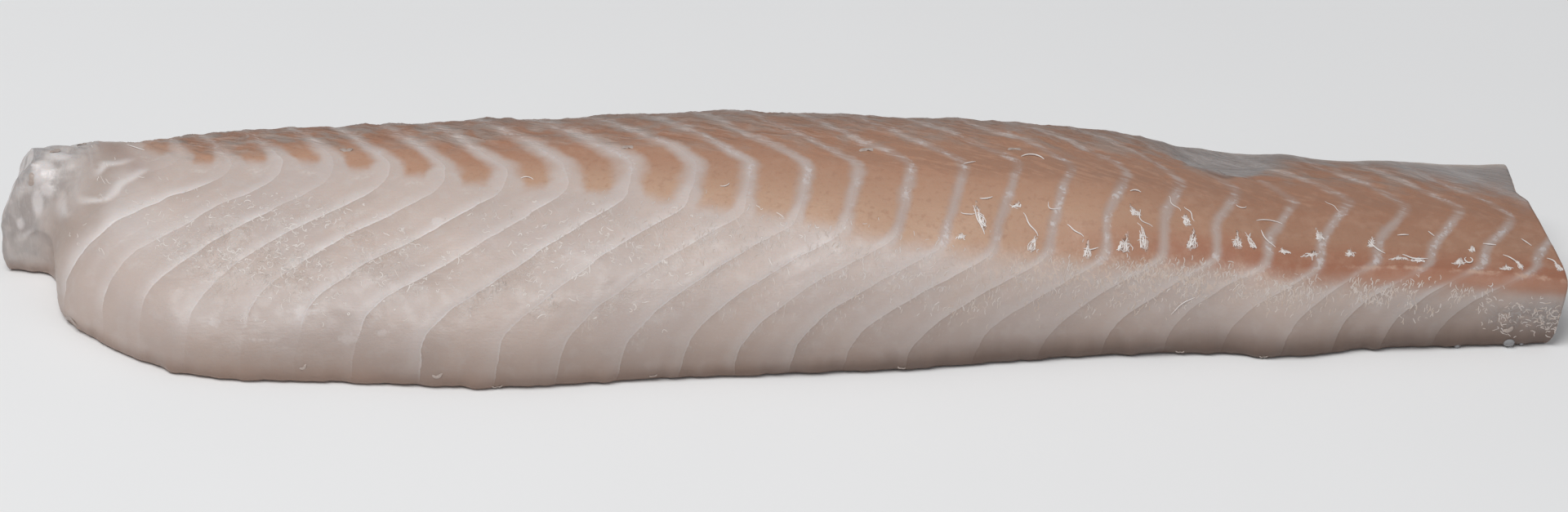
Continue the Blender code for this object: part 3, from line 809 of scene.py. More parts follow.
# %% Recipes
class Recipe:
    """A material being written: its nodes, and the formulas that are used again and again."""

    def __init__(self, name, **constants):
        """Makes the material and sets the shader's constants, with _ for a space in a name."""
        self.material = bpy.data.materials.new(name)
        self.material.use_nodes = True
        self.tree = self.material.node_tree
        self.shader = self.tree.nodes["Principled BSDF"]
        for title, value in constants.items():
            self.shader.inputs[title.replace("_", " ")].default_value = value

    def node(self, kind, settings, sockets, output=0):
        """Adds one node: settings first, then a value or a wire for each named socket."""
        added = self.tree.nodes.new("ShaderNode" + kind)
        for title, value in settings.items():
            setattr(added, title, value)
        for title, value in sockets.items():
            self.feed(added.inputs[title], value)
        return Wire(self, added.outputs[output])

    def feed(self, socket, value):
        """Joins a wire to a socket, or sets the socket to a plain value."""
        if isinstance(value, Wire):
            self.tree.links.new(value.socket, socket)
        else:
            socket.default_value = value

    def value(self, name):
        """A value that the mesh carries at each point."""
        return self.node("Attribute", {"attribute_name": name}, {}, "Fac")

    def place(self):
        """Position on the object, in millimetres."""
        where = self.node("TexCoord", {}, {}, "Object")
        return self.node("VectorMath", {"operation": "SCALE"}, {0: where, "Scale": 1000.0})

    def axes(self, vector):
        """The x, the y and the z of a vector."""
        return [self.node("SeparateXYZ", {}, {0: vector}, k) for k in range(3)]

    def vector(self, x, y, z=0.0):
        """A vector of x, y and z."""
        return self.node("CombineXYZ", {}, {0: x, 1: y, 2: z})

    def rise(self, value, low, high):
        """An S curve from 0 at low to 1 at high."""
        return self.node("MapRange", {"interpolation_type": "SMOOTHSTEP"},
                         {"Value": value, "From Min": low, "From Max": high})

    def fall(self, value, low, high):
        """An S curve from 1 at low to 0 at high."""
        return 1 - self.rise(value, low, high)

    def bell(self, value, middle, half_width):
        """1 at the middle, 0 beyond the half width, with soft shoulders."""
        return self.fall((value - middle).size(), 0.0, half_width)

    def noise(self, vector, scale, detail=2.0, distortion=0.0):
        """Cloudy random values, most of them between 0.3 and 0.7, cells 1 / scale wide."""
        return self.node("TexNoise", {}, {"Vector": vector, "Scale": scale, "Detail": detail,
                                          "Distortion": distortion}, "Fac")

    def mix(self, factor, a, b, blend="MIX"):
        """Colour a, turned into colour b by the factor."""
        added = self.tree.nodes.new("ShaderNodeMix")
        added.data_type, added.blend_type = "RGBA", blend
        for number, value in ((0, factor), (6, a), (7, b)):
            self.feed(added.inputs[number], value)
        return Wire(self, added.outputs[2])

    def bump(self, height, distance, normal=None):
        """Fine relief: height 1 stands for the distance, which is given in millimetres."""
        sockets = {"Height": height, "Distance": distance * MM, "Strength": 1.0}
        if normal is not None:
            sockets["Normal"] = normal
        return self.node("Bump", {}, sockets)

    def finish(self, **wires):
        """Feeds the shader's named sockets and gives the material."""
        for title, wire in wires.items():
            self.feed(self.shader.inputs[title.replace("_", " ")], wire)
        return self.material


print("the words of a recipe:", ", ".join(word for word in vars(Recipe) if word[0] != "_"))

# %% Screen colours
def paint(red, green, blue):
    """A screen colour as light: ((v + 0.055) / 1.055)^2.4 for each channel v of 0 to 1."""
    return (*(((v / 255 + 0.055) / 1.055) ** 2.4 for v in (red, green, blue)), 1.0)


print("middle grey on a screen is %.2f of white as light" % paint(128, 128, 128)[0])

# %% [markdown]
# ## The flesh
#
# Raw cod is translucent white, a little warmer where it is thick and greyer where the light gets
# lost in it. Each flake carries a painted highlight where its raised edge catches the light, a thin
# white line of connective tissue follows, and the next flake starts darker, with painted shadow
# below the step. The dark muscle shows as one orange patch for every flake, fading out in the pale
# tissue between them. The coats below are painted one over the other, as a scenic painter would do
# it: white flesh with its fibres and scars, dark muscle, the tail's ridge, torn lace, torn top,
# flap, lobe and folds, cuts, and the brown foot last. A coat is a share from 0 to 1 and a colour:
# the share says how much of what lies below the coat hides.

# %% White flesh: painted light and shade across a flake, and the line that ends it
flesh = Recipe("raw_loin_flesh", Roughness=0.42, IOR=1.40, Subsurface_Weight=0.18,
               Subsurface_Radius=(0.0034, 0.0019, 0.0013), Subsurface_Scale=1.0,
               Coat_Roughness=0.22, Coat_IOR=1.36)
rise, fall, bell, noise, vector = flesh.rise, flesh.fall, flesh.bell, flesh.noise, flesh.vector


def cover(colour, *coats):
    """The colour under coats laid one over the other, each (share, red, green, blue)."""
    for share, *screen in coats:
        colour = flesh.mix(share, colour, paint(*screen))
    return colour


def told(coat):
    """Says how many nodes the painting has, once a coat is on."""
    print(coat, "painted,", len(flesh.tree.nodes), "nodes so far")


def two_tones(share, first, second):
    """The first screen colour, turned into the second by the share."""
    return flesh.mix(share, paint(*first), paint(*second))


place = flesh.place()
x, y, z = flesh.axes(place)
flake, width, round_mm, band, fringe, ridge = (
    flesh.value(name) for name in ("flake", "width", "round", "band", "fringe", "ridge"))
strength, crease, shine, wall, rim, arcs, head_cut, tail_cut = (
    flesh.value(name)
    for name in ("line", "crease", "shine", "wall", "rim", "arcs", "head_cut", "tail_cut"))

jitter, wobble = noise(place, 0.35, 3.0) - 0.5, noise(place, 1.1) - 0.5
within = (flake + 0.05 * jitter + 0.02 * wobble).fract()
after_line, before_line = within * width, (1 - within) * width
to_line = after_line.least(before_line)

toward_tail, low_part = rise(x, -60.0, 60.0), fall(round_mm, 12.0, 42.0)
left_part, head_part = fall(x, -120.0, -20.0), fall(x, -150.0, -60.0)
cloud, mottle, patches = noise(place, 0.045), noise(place, 0.28, 3.0), noise(place, 0.11)

# Painted light and shade of the shingles: painted shadow after each line, below the step, a painted
# highlight on the raised lip before the next line, a brighter painted band close to it, and a dark
# painted crevice right after the line.
step_shadow = fall(within, 0.02, 0.50) * strength
lip_highlight = rise(within, 0.62, 1.0)
lip_highlight_share = 0.14 + (0.30 + 0.12 * head_part - 0.12 * toward_tail) * strength
edge_highlight = fall(before_line + 1.6 * jitter, 0.3, 3.4) * strength
line = fall(before_line + 0.8 * wobble, 0.12, 0.60) * strength
crevice_shadow = fall(after_line + 0.4 * wobble, 0.05, 0.55) * strength
white = cover(two_tones(rise(cloud, 0.35, 0.65), (202, 185, 176), (198, 183, 176)),
              ((0.30 + 0.10 * low_part * toward_tail) * step_shadow, 170, 151, 140),
              (lip_highlight * lip_highlight_share, 220, 211, 208),
              ((0.10 + 0.20 * head_part) * edge_highlight, 228, 221, 218),
              (0.22 * rise(mottle, 0.48, 0.72), 214, 206, 202),
              ((0.62 - 0.50 * toward_tail) * line, 228, 221, 219),
              ((0.14 + 0.06 * low_part * toward_tail) * crevice_shadow, 148, 130, 120))
told("white flesh")

# %% [markdown]
# ## Fibres, scars and dashes that stay paint
#
# Handling roughs up the white flesh. Near the head it is covered with short curled fibres, and
# further on pale dashes run across the flakes. The larger curls are made as tubes later, and the
# finer ones are painted here, because at their size a change of tone and a bump look the same as
# a tube. A band cut from a cloud, as between two height lines on a map, gives strands that curl.

# %% Small curled fibres, soft scars, pale dashes, and broad painted shade and light
swirl = noise(place, 0.42, distortion=0.5)
strands = bell((swirl * 11.0).fract(), 0.5, 0.42)
in_bits = rise(noise(place, 0.95, 1.0), 0.42, 0.56)
curl_patch = bell(x, -116.0, 50.0) * bell(round_mm, 36.0, 22.0) * rise(patches, 0.40, 0.56)
under_lines = fall(after_line, 2.0, 6.5) * bell(round_mm, 26.0, 17.0)
under_lines = under_lines * bell(x, -55.0, 70.0) * rise(patches, 0.36, 0.52)
curl_region = (1.5 * curl_patch).most(under_lines).least(1.0)
curls = strands * in_bits * curl_region
membrane = rise(noise(place, 0.17, 3.0, distortion=0.8), 0.52, 0.58) * curl_region
scar = rise(flesh.value("scar") + 1.1 * (noise(place, 1.3, 3.0) - 0.5), 0.36, 0.80)

slant, across = 0.50 * x + 0.87 * z, 0.87 * x - 0.50 * z + 0.6 * y
dash_field = noise(vector(slant / 1.3, across / 0.60), 1.0, 1.0)
dash_region = bell(x, 10.0, 105.0) * (1 - rise(band, -8.0, 1.0) * 0.8)
dash_region = dash_region * (0.30 + 0.70 * fall(after_line, 0.5, 5.0)) * rise(round_mm, 4.0, 16.0)
dashes = rise(dash_field, 0.60, 0.68) * dash_region * rise(patches, 0.34, 0.55)
# Broad painted shade across the middle of the white face, and painted light high on the head end.
middle_painted_shade = bell(round_mm, 29.0, 11.0) * bell(x, -50.0, 75.0)
head_painted_light = bell(round_mm, 38.0, 16.0) * bell(x, -156.0, 24.0)
white = cover(white,
              (0.26 * curl_region * rise(patches, 0.42, 0.60), 186, 167, 155),
              (0.34 * curls, 228, 219, 213), (0.30 * membrane, 220, 211, 206),
              (0.42 * scar, 224, 216, 213), (0.45 * dashes, 230, 221, 215),
              (0.18 * middle_painted_shade, 150, 136, 128), (0.34 * head_painted_light, 222, 215, 212))
told("fibres, scars and dashes")

# %% [markdown]
# ## Dark muscle
#
# The dark muscle lay just under the skin and holds fat and blood, so it is orange-brown, and
# redder near the tail. Seen on the loin it is one patch for each flake, with pale tissue between
# two patches. The part behind the comma of the flake count places every patch at once, and clouds
# move their edges, so no two patches are alike.

# %% Dark muscle: one orange patch for each flake
edge_wave = (5.0 - 1.5 * toward_tail) * (noise(place, 0.16, 3.0) - 0.5)
reach = within + (0.24 - 0.10 * toward_tail) * (noise(place, 0.18) - 0.5)
patch = rise(reach, 0.05 - 0.05 * toward_tail, 0.35 - 0.20 * toward_tail)
patch = patch * fall(reach, 0.63 + 0.17 * toward_tail, 0.93 + 0.07 * toward_tail)
round_end = band + edge_wave - (1 - patch) * (6.5 - 4.5 * toward_tail)
in_band = rise(round_end, -1.6 - 2.6 * toward_tail, 3.6)
red_edge = rise(x, 40.0, 110.0) * bell(band, 4.5, 9.0)
red_top = (1 - toward_tail) * rise(band, 3.0, 14.0)
orange = cover(two_tones(rise(band, 2.0, 28.0), (194, 160, 136), (179, 137, 113)),
               (0.60 * rise(x, 60.0, 130.0), 158, 114, 91),
               (0.50 * fall(x, -90.0, -40.0), 180, 131, 106),
               (0.80 * red_edge, 165, 110, 86), (0.50 * red_top, 164, 116, 92),
               (0.40 * rise(mottle, 0.42, 0.70), 188, 151, 129),
               (0.30 * rise(noise(place, 0.7, 3.0), 0.52, 0.72), 158, 116, 94))
pale = two_tones(toward_tail, (194, 174, 164), (166, 138, 123))
# The pale tissue: a soft core, wider towards its foot, with a few bright broken flecks in it.
soft_core = fall(to_line + 1.8 * jitter, 0.2, 1.9 + 0.9 * fall(band, 0.0, 9.0))
tissue = noise(vector(x + z / 1.2, y / 1.2, z / 1.6), 1.0, distortion=0.5)
flecks = fall(to_line + 2.2 * wobble, 0.25, 1.1) * rise(tissue, 0.42, 0.60)
flecks = flecks * rise(noise(place, 0.16), 0.46, 0.60)
striped = cover(flesh.mix(patch, pale, orange),
                ((0.40 - 0.20 * toward_tail) * soft_core, 204, 196, 196),
                (0.72 * flecks, 212, 207, 208))
tissue_share = 0.45 + 0.30 * toward_tail
colour = flesh.mix(in_band * (tissue_share + (1 - tissue_share) * patch), white, striped)
told("dark muscle")

# %% A pale rim under the patches, and the tail's shoulder: a thin ridge over an orange strip
pale_rim = bell(round_end, -3.0, 1.8) * bell(within, 0.55, 0.32) * left_part
top_edge = bell(round_mm, 77.0, 8.0) * bell(x, 55.0, 40.0)
shoulder = rise(x, 122.0, 152.0)
strip = bell(ridge, -2.2, 3.6) * rise(band, -3.5, 0.5) * shoulder
ridge_line = bell(ridge + 1.8 * wobble, 0.0, 0.9) * shoulder * rise(mottle, 0.36, 0.58)
stroke_field = noise(vector(x / 0.7 + z / 2.5, y / 1.1, z / 1.6), 1.0, 1.0, distortion=0.4)
strokes = rise(stroke_field, 0.50, 0.60) * bell(x, 88.0, 66.0)
strokes = strokes * bell(band, -2.5, 7.5) * rise(mottle, 0.30, 0.55)
colour = cover(colour,
               (0.45 * pale_rim * rise(wobble, -0.10, 0.10), 222, 213, 206),
               (0.22 * top_edge, 198, 190, 188), (0.70 * strip, 178, 128, 103),
               (0.62 * ridge_line, 208, 176, 156), (0.55 * strokes, 224, 202, 186))
told("rims, ridge and strokes")

# %% [markdown]
# ## Torn lace
#
# Where the skin was torn off, scraps of white connective tissue stay behind. Each is a small net
# with holes, through which the dark muscle shows. The listed bells say where a scrap lies, and one
# cloud, cut at two levels, gives its threads and its holes.

# %% Torn lace near the lower edge of the dark muscle
thread_field = noise(vector(x / 0.8, y / 0.9, z / 1.1), 1.0, distortion=0.9)
ragged = flesh.value("lace") + 1.1 * (noise(place, 1.0, 3.0) - 0.5)
full, holes = rise(ragged, 0.58, 0.84), rise(thread_field, 0.56, 0.62)
pits = full * holes
lace_white = full * (1 - holes) * (0.35 + 0.65 * rise(thread_field, 0.30, 0.48))
colour = cover(colour, (0.50 * pits, 104, 82, 70), (0.58 * lace_white, 222, 213, 208))
told("torn lace")

# %% [markdown]
# ## The torn top
#
# Above the patches the skin took some of the fat with it, and left streaks of brown, grey and
# white that run along the fish, a little on a slant. Clouds stretched the same way look like such
# streaks. The pale arms of the lines still show through them, so they are laid on again.

# %% The torn brown top
streak_x, streak_y = x - 0.4 * y, y + 0.4 * x
streaks = noise(vector(streak_x / 9.0, streak_y / 1.3, z / 1.3), 1.0, 4.0, distortion=0.5)
blotches = noise(vector(streak_x / 8.0, streak_y / 4.0, z / 4.0), 1.0, 3.0)
wisps = noise(vector(streak_x / 3.5, streak_y / 0.9, z / 1.2), 1.0, 3.0, distortion=0.8)
torn = rise(fringe + 10.0 * (blotches - 0.5), -4.0, 8.0)
arm = fall(to_line + 5.0 * (streaks - 0.5), 0.2, 1.7)
top = cover(two_tones(rise(blotches, 0.42, 0.62), (156, 116, 95), (152, 138, 130)),
            (0.60 * fall(streaks, 0.30, 0.46), 112, 90, 77),
            (0.40 * rise(streaks, 0.52, 0.68), 196, 178, 168),
            (0.50 * arm * rise(blotches, 0.36, 0.54), 202, 188, 181),
            (0.45 * arm * rise(wisps, 0.52, 0.64), 224, 214, 210))
arm_zone = rise(band, 20.0, 27.0) * toward_tail * rise(streaks, 0.38, 0.52)
colour = cover(colour, (0.70 * arm_zone, 158, 120, 99))
colour = flesh.mix((0.62 + 0.28 * left_part) * torn, colour, top)
# The far top: grey remains of the silver skin, darkened further as painted shade where the top
# turns away from the light.
far_top_skin_and_shade = rise(fringe, 6.0, 20.0) * (1 - wall)
head_top = rise(fringe, -14.0, 4.0) * fall(x, -172.0, -138.0)
colour = cover(colour, (0.45 * far_top_skin_and_shade, 128, 117, 111), (0.7 * head_top, 176, 160, 150))
told("torn top")

# %% [markdown]
# ## The flap and the back wall
#
# Behind the dark muscle near the tail lies a thin grey-white flap with small wrinkles. Its grey is
# partly painted shade, since it faces away from the light, and a painted shadow darkens it under a
# small drop. The wall at the back is a long knife cut, pale and lined where it crosses the flakes.
# Each has a colour of its own that covers what is below, as far as the mesh says that the flap or
# the wall reaches.

# %% The pale flap behind the dark muscle, and the cut wall at the back
fades_in = 5.5 * rise(x, 112.0, 130.0)
beyond = flesh.value("pale_flap")
flap_edge = beyond + (2.0 + 1.6 * fades_in) * (blotches - 0.5)
flap = rise(flap_edge, -1.0 - fades_in, 1.2 + 0.8 * fades_in) * rise(x, 90.0, 103.0)
wrinkle_field = noise(vector(x / 6.0, (y + 0.25 * x) / 1.3, z / 1.3), 1.0, distortion=1.0)
wrinkles = bell(wrinkle_field, 0.5, 0.06) * rise(x, 96.0, 110.0) * fall(x, 145.0, 165.0)
wrinkles = wrinkles * rise(fringe, -12.0, -2.0)
# The flap's grey is partly painted shade, as it faces away from the light.
flap_colour_with_shade = cover(two_tones(rise(cloud, 0.4, 0.6), (143, 136, 133), (156, 150, 148)),
                    (0.30 * rise(streaks, 0.5, 0.7), 178, 172, 170),
                    (0.20 * arm, 190, 184, 182), (0.30 * wrinkles, 112, 102, 98))
flap_shadow = bell(beyond + 1.2 * jitter, -0.6, 1.6) * bell(x, 106.0, 17.0)
colour = cover(flesh.mix(0.92 * flap, colour, flap_colour_with_shade), (0.6 * flap_shadow, 98, 80, 70))
wall_line = two_tones(0.5 * rise(before_line, 0.9, 0.1), (196, 182, 172), (218, 210, 206))
wall_colour = cover(wall_line, (0.35 * rise(mottle, 0.4, 0.7), 176, 160, 150))
colour = flesh.mix(wall, colour, wall_colour)
told("flap and back wall")

# %% [markdown]
# ## The lobe and the folds
#
# The lobe at the head end is wet, ragged flesh with a film over it, greyer than the rest, and it
# shines, with painted highlights on its wet blobs and a painted shadow in the crease behind it.
# Behind it the flesh was pushed into a few thick folds, each with a painted highlight on its crest
# and painted shade on its lee side. The crests and the sides come from the listed lines, so the
# paint and the relief always agree.

# %% The ragged lobe at the head end, and the folds behind it
film = noise(vector(x / 5.0, y / 5.0, z / 9.0), 1.0, 3.0, distortion=0.4)
film_rim = fall(crease + 12.0 + 6.0 * (film - 0.5), -3.0, 1.5)
strand_field = noise(vector(x / 0.9, y / 2.6, z / 3.4), 1.0, 3.0, distortion=1.2)
lobe_colour = cover(two_tones(rise(film, 0.36, 0.62), (174, 165, 161), (196, 188, 184)),
                    (0.75 * film_rim, 160, 157, 157),
                    (0.20 * rise(strand_field, 0.52, 0.66), 216, 209, 206),
                    (0.08 * fall(strand_field, 0.32, 0.42), 150, 142, 138))
near_lobe = fall(crease + 5.0 * (film - 0.5), -5.5, 1.5)
# Painted shadow along the crease behind the lobe, and painted highlights on the wet blobs, which
# are also glossier.
crease_shadow = bell(crease + 3.0 * (film - 0.5), 1.5, 6.5) * fall(round_mm, 58.0, 72.0)
gloss_and_highlight = rise(shine + 0.5 * (film - 0.5) + 0.2 * wobble, 0.20, 0.75)
# Painted highlight on each fold's crest and painted shade on its lee side.
fold_highlight = flesh.value("fold_highlight") * rise(mottle, 0.20, 0.50)
colour = cover(flesh.mix(near_lobe, colour, lobe_colour),
               (0.50 * crease_shadow, 158, 139, 126), (0.72 * gloss_and_highlight, 226, 219, 217),
               (0.70 * fold_highlight, 228, 221, 218),
               (0.22 * flesh.value("fold_shade"), 164, 145, 134))
told("lobe and folds")

# %% [markdown]
# ## The cut ends
#
# The knife went through the flakes at the tail, so that face shows them as arcs, with the dark
# muscle as a brown rim along its top. The head's cut is paler and has no rim.

# %% The two cut ends
cut_fibre = noise(vector(x / 4.0, y / 1.1, z / 1.1), 1.0, 3.0)
arc_line = bell((arcs + 0.1 * jitter).fract(), 0.96, 0.06)
brown_rim = fall(rim + 2.0 * (mottle - 0.5), 2.0, 5.0) * rise(z, 14.0, 19.0)
tail_colour = cover(two_tones(rise(cut_fibre, 0.35, 0.65), (176, 166, 160), (202, 194, 189)),
                    (0.6 * arc_line, 222, 216, 212), (0.85 * brown_rim, 172, 128, 106))
head_colour = two_tones(rise(film, 0.36, 0.62), (168, 158, 153), (208, 200, 197))
colour = flesh.mix(head_cut, flesh.mix(tail_cut, colour, tail_colour), head_colour)
told("cut ends")

# %% [markdown]
# ## Drying, and the foot
#
# Beside the tail cut the surface has dried to a crackled film, which is a thin band of a twisted
# cloud. A few broad tones follow that belong to no flake. Last comes the foot: little light
# reaches it, so a painted shade multiplies the colours below, as a shadow does, low down and more
# faintly half way up. Then a dark brown coat covers the foot, partly the stain of the juice that
# gathers there and partly painted shade.

# %% Dried film beside the tail cut, and tones of their own
crackle_field = noise(place, 0.44, 3.0, distortion=1.6)
crackle_region = rise(x + 5.0 * jitter, 168.0, 178.0) * bell(z, 8.5, 6.5)
crackle_region = crackle_region * rise(mottle, 0.34, 0.48)
crackles = fall((crackle_field - 0.5).size(), 0.02, 0.07) * crackle_region
# The tones: the grey flank of the tail, the top of the lobe, and the head's tan shoulder.
tail_flank = rise(x, 138.0, 160.0) * bell(round_mm, 11.0, 9.0)
lobe_top = bell(x, -183.0, 9.0) * bell(round_mm, 46.0, 9.0)
tan_shoulder = bell(x, -161.0, 16.0) * bell(round_mm, 56.0, 9.0)
colour = cover(colour,
               (0.40 * crackle_region, 150, 143, 141), (0.62 * crackles, 204, 199, 197),
               (0.17 * tail_flank, 92, 84, 80), (0.34 * lobe_top, 132, 127, 130),
               (0.38 * tan_shoulder, 152, 122, 110))
told("film and tones")

# %% The brown foot: painted shade, and a coat that is part stain, part shade
off_cut = 1 - 0.7 * tail_cut
above_board = (0.25 + 0.75 * rise(z, 0.02, 0.15)) * off_cut
head_end = fall(x, -172.0, -122.0)
# Painted shade: darker low down, and more faintly half way up.
lower = fall(z, 0.0, 15.0) * (0.95 - 0.70 * head_end) * above_board
half_way = bell(z, 12.0, 16.0) * (1 - 0.85 * head_end) * off_cut
for share, shadow in ((lower, (196, 186, 179)), (0.42 * half_way, (206, 202, 200))):
    colour = flesh.mix(share, colour, paint(*shadow), "MULTIPLY")
# A dark brown coat on the foot: partly a stain of gathered juice, partly painted shade.
foot_height = z + 2.6 * (noise(vector(x / 5.0, y / 5.0), 1.0, 3.0) - 0.5)
foot_stain_and_shade = fall(foot_height, 0.6, 5.6 + 3.4 * rise(x, -10.0, 60.0))
foot_stain_and_shade_colour = two_tones(rise(x, -120.0, 70.0), (150, 124, 110), (86, 65, 54))
colour = flesh.mix(0.80 * foot_stain_and_shade * above_board, colour, foot_stain_and_shade_colour)
told("foot")

# %% [markdown]
# ## Gloss and the finest relief
#
# Wet fish shines softly and unevenly: water stands in the grooves and dries off the crests, so
# the roughness follows the same clouds as the colour. Anything finer than the mesh, such as muscle
# fibres, the lips of the lines and the curled fibre ends, is a bump. Each bump node takes the
# normal of the one before it, so each rides on all those before it.

# %% Gloss, bumps and the finished flesh
roughness = 0.46 - 0.10 * rise(mottle, 0.40, 0.68) - 0.08 * near_lobe - 0.08 * gloss_and_highlight + 0.06 * torn
wetness = 0.10 + 0.20 * rise(cloud, 0.42, 0.62) + 0.15 * near_lobe + 0.20 * gloss_and_highlight
fibres = noise(vector(x / 2.4 + z / 5.0, y / 0.6, z / 0.6), 1.0)
groove = rise(to_line, 0.0, 0.55) * strength * (1 - 0.85 * rise(x, -10.0, 60.0))
fine_marks = curls + strokes + dashes + crackles + 0.6 * flecks
normal = None
# Each bump: its height, and the millimetres that a height of 1 stands for.
for height, millimetres in ((groove, 0.06), (fibres, 0.05), (fine_marks, 0.06),
                            (lace_white - pits, 0.14), (strand_field * near_lobe, 0.08),
                            (streaks * torn, 0.60), (noise(place, 1.5, 3.0), 0.06)):
    normal = flesh.bump(height, millimetres, normal)
flesh_paint = flesh.finish(Base_Color=colour, Roughness=roughness, Coat_Weight=wetness,
                           Normal=normal)
loin = mesh_piece("loin_flesh", POINTS, FACES, attributes, flesh_paint)
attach(loin, "root")
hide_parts("cod_loin")
print("flesh painted with", len(flesh.tree.nodes), "nodes")

# %% [markdown]
# ## Where a loose bit sits
#
# The last things on a real loin are loose: torn fibre ends that curl up, threads of white tissue
# where the skin was pulled, and drops of water. They could be painted, but paint lies flat when the
# light moves, so each is a small closed tube or ball on the surface. A place is named as on the
# fish, by a distance along it and a distance round it, and a helper finds the point of the finished
# surface that belongs to it.

# %% From (along, round) to a point on the finished surface
def sample(values, i, j):
    """Bilinear: the four grid values round (i, j), weighted by the parts behind the comma."""
    i, j = np.clip(i, 0, RINGS - 1.001), np.clip(j, 0, UPPER_POINTS - 1.001)
    i0, j0 = i.astype(int), j.astype(int)
    ti, tj = (part.reshape(part.shape + (1,) * (values.ndim - 2)) for part in (i - i0, j - j0))
    near = values[i0, j0] * (1 - ti) + values[i0 + 1, j0] * ti
    far = values[i0, j0 + 1] * (1 - ti) + values[i0 + 1, j0 + 1] * ti
    return near * (1 - tj) + far * tj


def on_surface(x, s):
    """Point and outward direction at (along, round). Rows are counted from the stations, and then
    moved three times by the miss divided by the step between two rows."""
    numbers = np.arange(RINGS)
    i = np.interp(x, stations, numbers)
    for _ in range(3):
        j = s / np.interp(i, numbers, S[:, -1]) * (UPPER_POINTS - 1)
        i = i + (x - sample(X, i, j)) / np.interp(i, numbers, np.gradient(stations))
    return sample(UPPER, i, j), sample(OUTWARD, i, j)


middle_place = on_surface(np.array([0.0]), np.array([20.0]))[0][0]
print("half way along and 20 mm round, the surface is at", middle_place.round(1).tolist())

# %% Tubes along draped paths
def fibre_paths(x, s, length, heading, curl, wave, rings):
    """Paths of even steps from the middle (x, s): the direction at t from -1 to 1 is
    heading + curl t + wave sin(pi t), in degrees, 0 along the loin and 90 up round it."""
    t = np.linspace(-1, 1, rings)[None, :]
    columns = (np.asarray(v, float).reshape(-1, 1) for v in (x, s, length, heading, curl, wave))
    x, s, length, heading, curl, wave = columns
    turn = np.radians(heading + curl * t + wave * np.sin(math.pi * t))
    step = length / (rings - 1)
    dx, ds = np.cumsum(step * np.cos(turn), axis=1), np.cumsum(step * np.sin(turn), axis=1)
    return x + dx - dx.mean(axis=1, keepdims=True), s + ds - ds.mean(axis=1, keepdims=True)


def tubes(x, s, lift, half_width, half_height, sides):
    """Points and faces of closed tubes. Round each path point stands the ring
    cos(a) half_width side + sin(a) half_height outward, where side = path x outward, and both
    halves shrink to the ends by the root of 1 - t^2."""
    centre, outward = on_surface(x, s)
    centre = centre + outward * lift[:, :, None]
    path = np.gradient(centre, axis=1)
    path = path / np.maximum(np.linalg.norm(path, axis=2, keepdims=True), 1e-9)
    side = np.cross(path, outward)
    side = side / np.maximum(np.linalg.norm(side, axis=2, keepdims=True), 1e-9)
    upward = np.cross(side, path)
    t = np.linspace(-1, 1, x.shape[1] + 2)[1:-1]
    slim = np.sqrt(1 - t * t)[None, :, None, None]
    angle = np.linspace(0, 2 * math.pi, sides, endpoint=False)[None, None, :, None]
    wide = np.asarray(half_width, float).reshape(-1, 1, 1, 1) * slim * np.cos(angle)
    high = np.asarray(half_height, float).reshape(-1, 1, 1, 1) * slim * np.sin(angle)
    rings_at = centre[:, :, None] + wide * side[:, :, None] + high * upward[:, :, None]
    end = np.asarray(half_width, float).reshape(-1, 1) * 0.5
    tips = np.stack([centre[:, 0] - path[:, 0] * end, centre[:, -1] + path[:, -1] * end], axis=1)
    return many_closed(rings_at, tips)


def scattered(seed, tries, low, high, chance):
    """Random places (x, s) between the corners low and high, kept with the chance(x, s)."""
    chooser = np.random.default_rng(seed)
    x, s = chooser.uniform(low[0], high[0], tries), chooser.uniform(low[1], high[1], tries)
    kept = chooser.uniform(0, 1, tries) < chance(x, s)
    return x[kept], s[kept], chooser


print("a straight path, 4 mm long:", fibre_paths(0, 0, 4, 0, 0, 0, 5)[0][0].tolist())

# %% [markdown]
# ## Fibre ends, threads and scraps
#
# Five kinds are made, each one mesh. Curled fibres lie on the thick white part near the head,
# where the fillet was handled. Short flecks stand like worn velvet along the lower edge of the
# dark muscle, and crowd together near the tail cut. Nets and single threads of connective tissue
# mark where the skin held on. Scraps are wider and flatter, and hang at the foot and at the torn
# ends. All are tubes with a few sides, because a shape that is repeated so often must stay light.

# %% Finish of the fibres
def fibre_finish(name, dull, bright, coat):
    """Damp white tissue: two tones mixed by a cloud and by the tone of each fibre, fine grain."""
    fibre = Recipe(name, IOR=1.40, Coat_Weight=coat, Coat_Roughness=0.25)
    where = fibre.place()
    cloud = fibre.rise(fibre.noise(where, 0.6), 0.38, 0.62)
    tone = (fibre.value("tone") + 0.35 * (cloud - 0.5)).most(0.0).least(1.0)
    return fibre.finish(Base_Color=fibre.mix(tone, paint(*dull), paint(*bright)),
                        Roughness=0.40 + 0.12 * cloud,
                        Normal=fibre.bump(fibre.noise(where, 2.5), 0.05))


def fibre_piece(name, tube, tones, material):
    """One mesh of tubes that rides with the loin, with a tone for each tube."""
    points, faces = tube
    tone = np.repeat(tones, len(points) // len(tones))
    piece = mesh_piece(name, points, faces, {"tone": tone}, material)
    piece.data.shade_flat()
    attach(piece, "root")
    print(name, ":", len(tones), "tubes,", sum(len(face) - 2 for face in faces), "triangles")


# %% Curled fibres on the white flesh
def curl_chance(x, s):
    """Two patches, on the head side and under the lines of the middle, clumped by a field."""
    clumps = smooth(-0.35, 0.45, rough(x / 13, s / 8, 101, 2))
    head = hump(x, -120, 34) * hump(s, 36, 14)
    middle = 0.5 * hump(x, -52, 44) * hump(s, 33, 11)
    return clumps * np.maximum(head, middle) * smooth(12, 20, s)


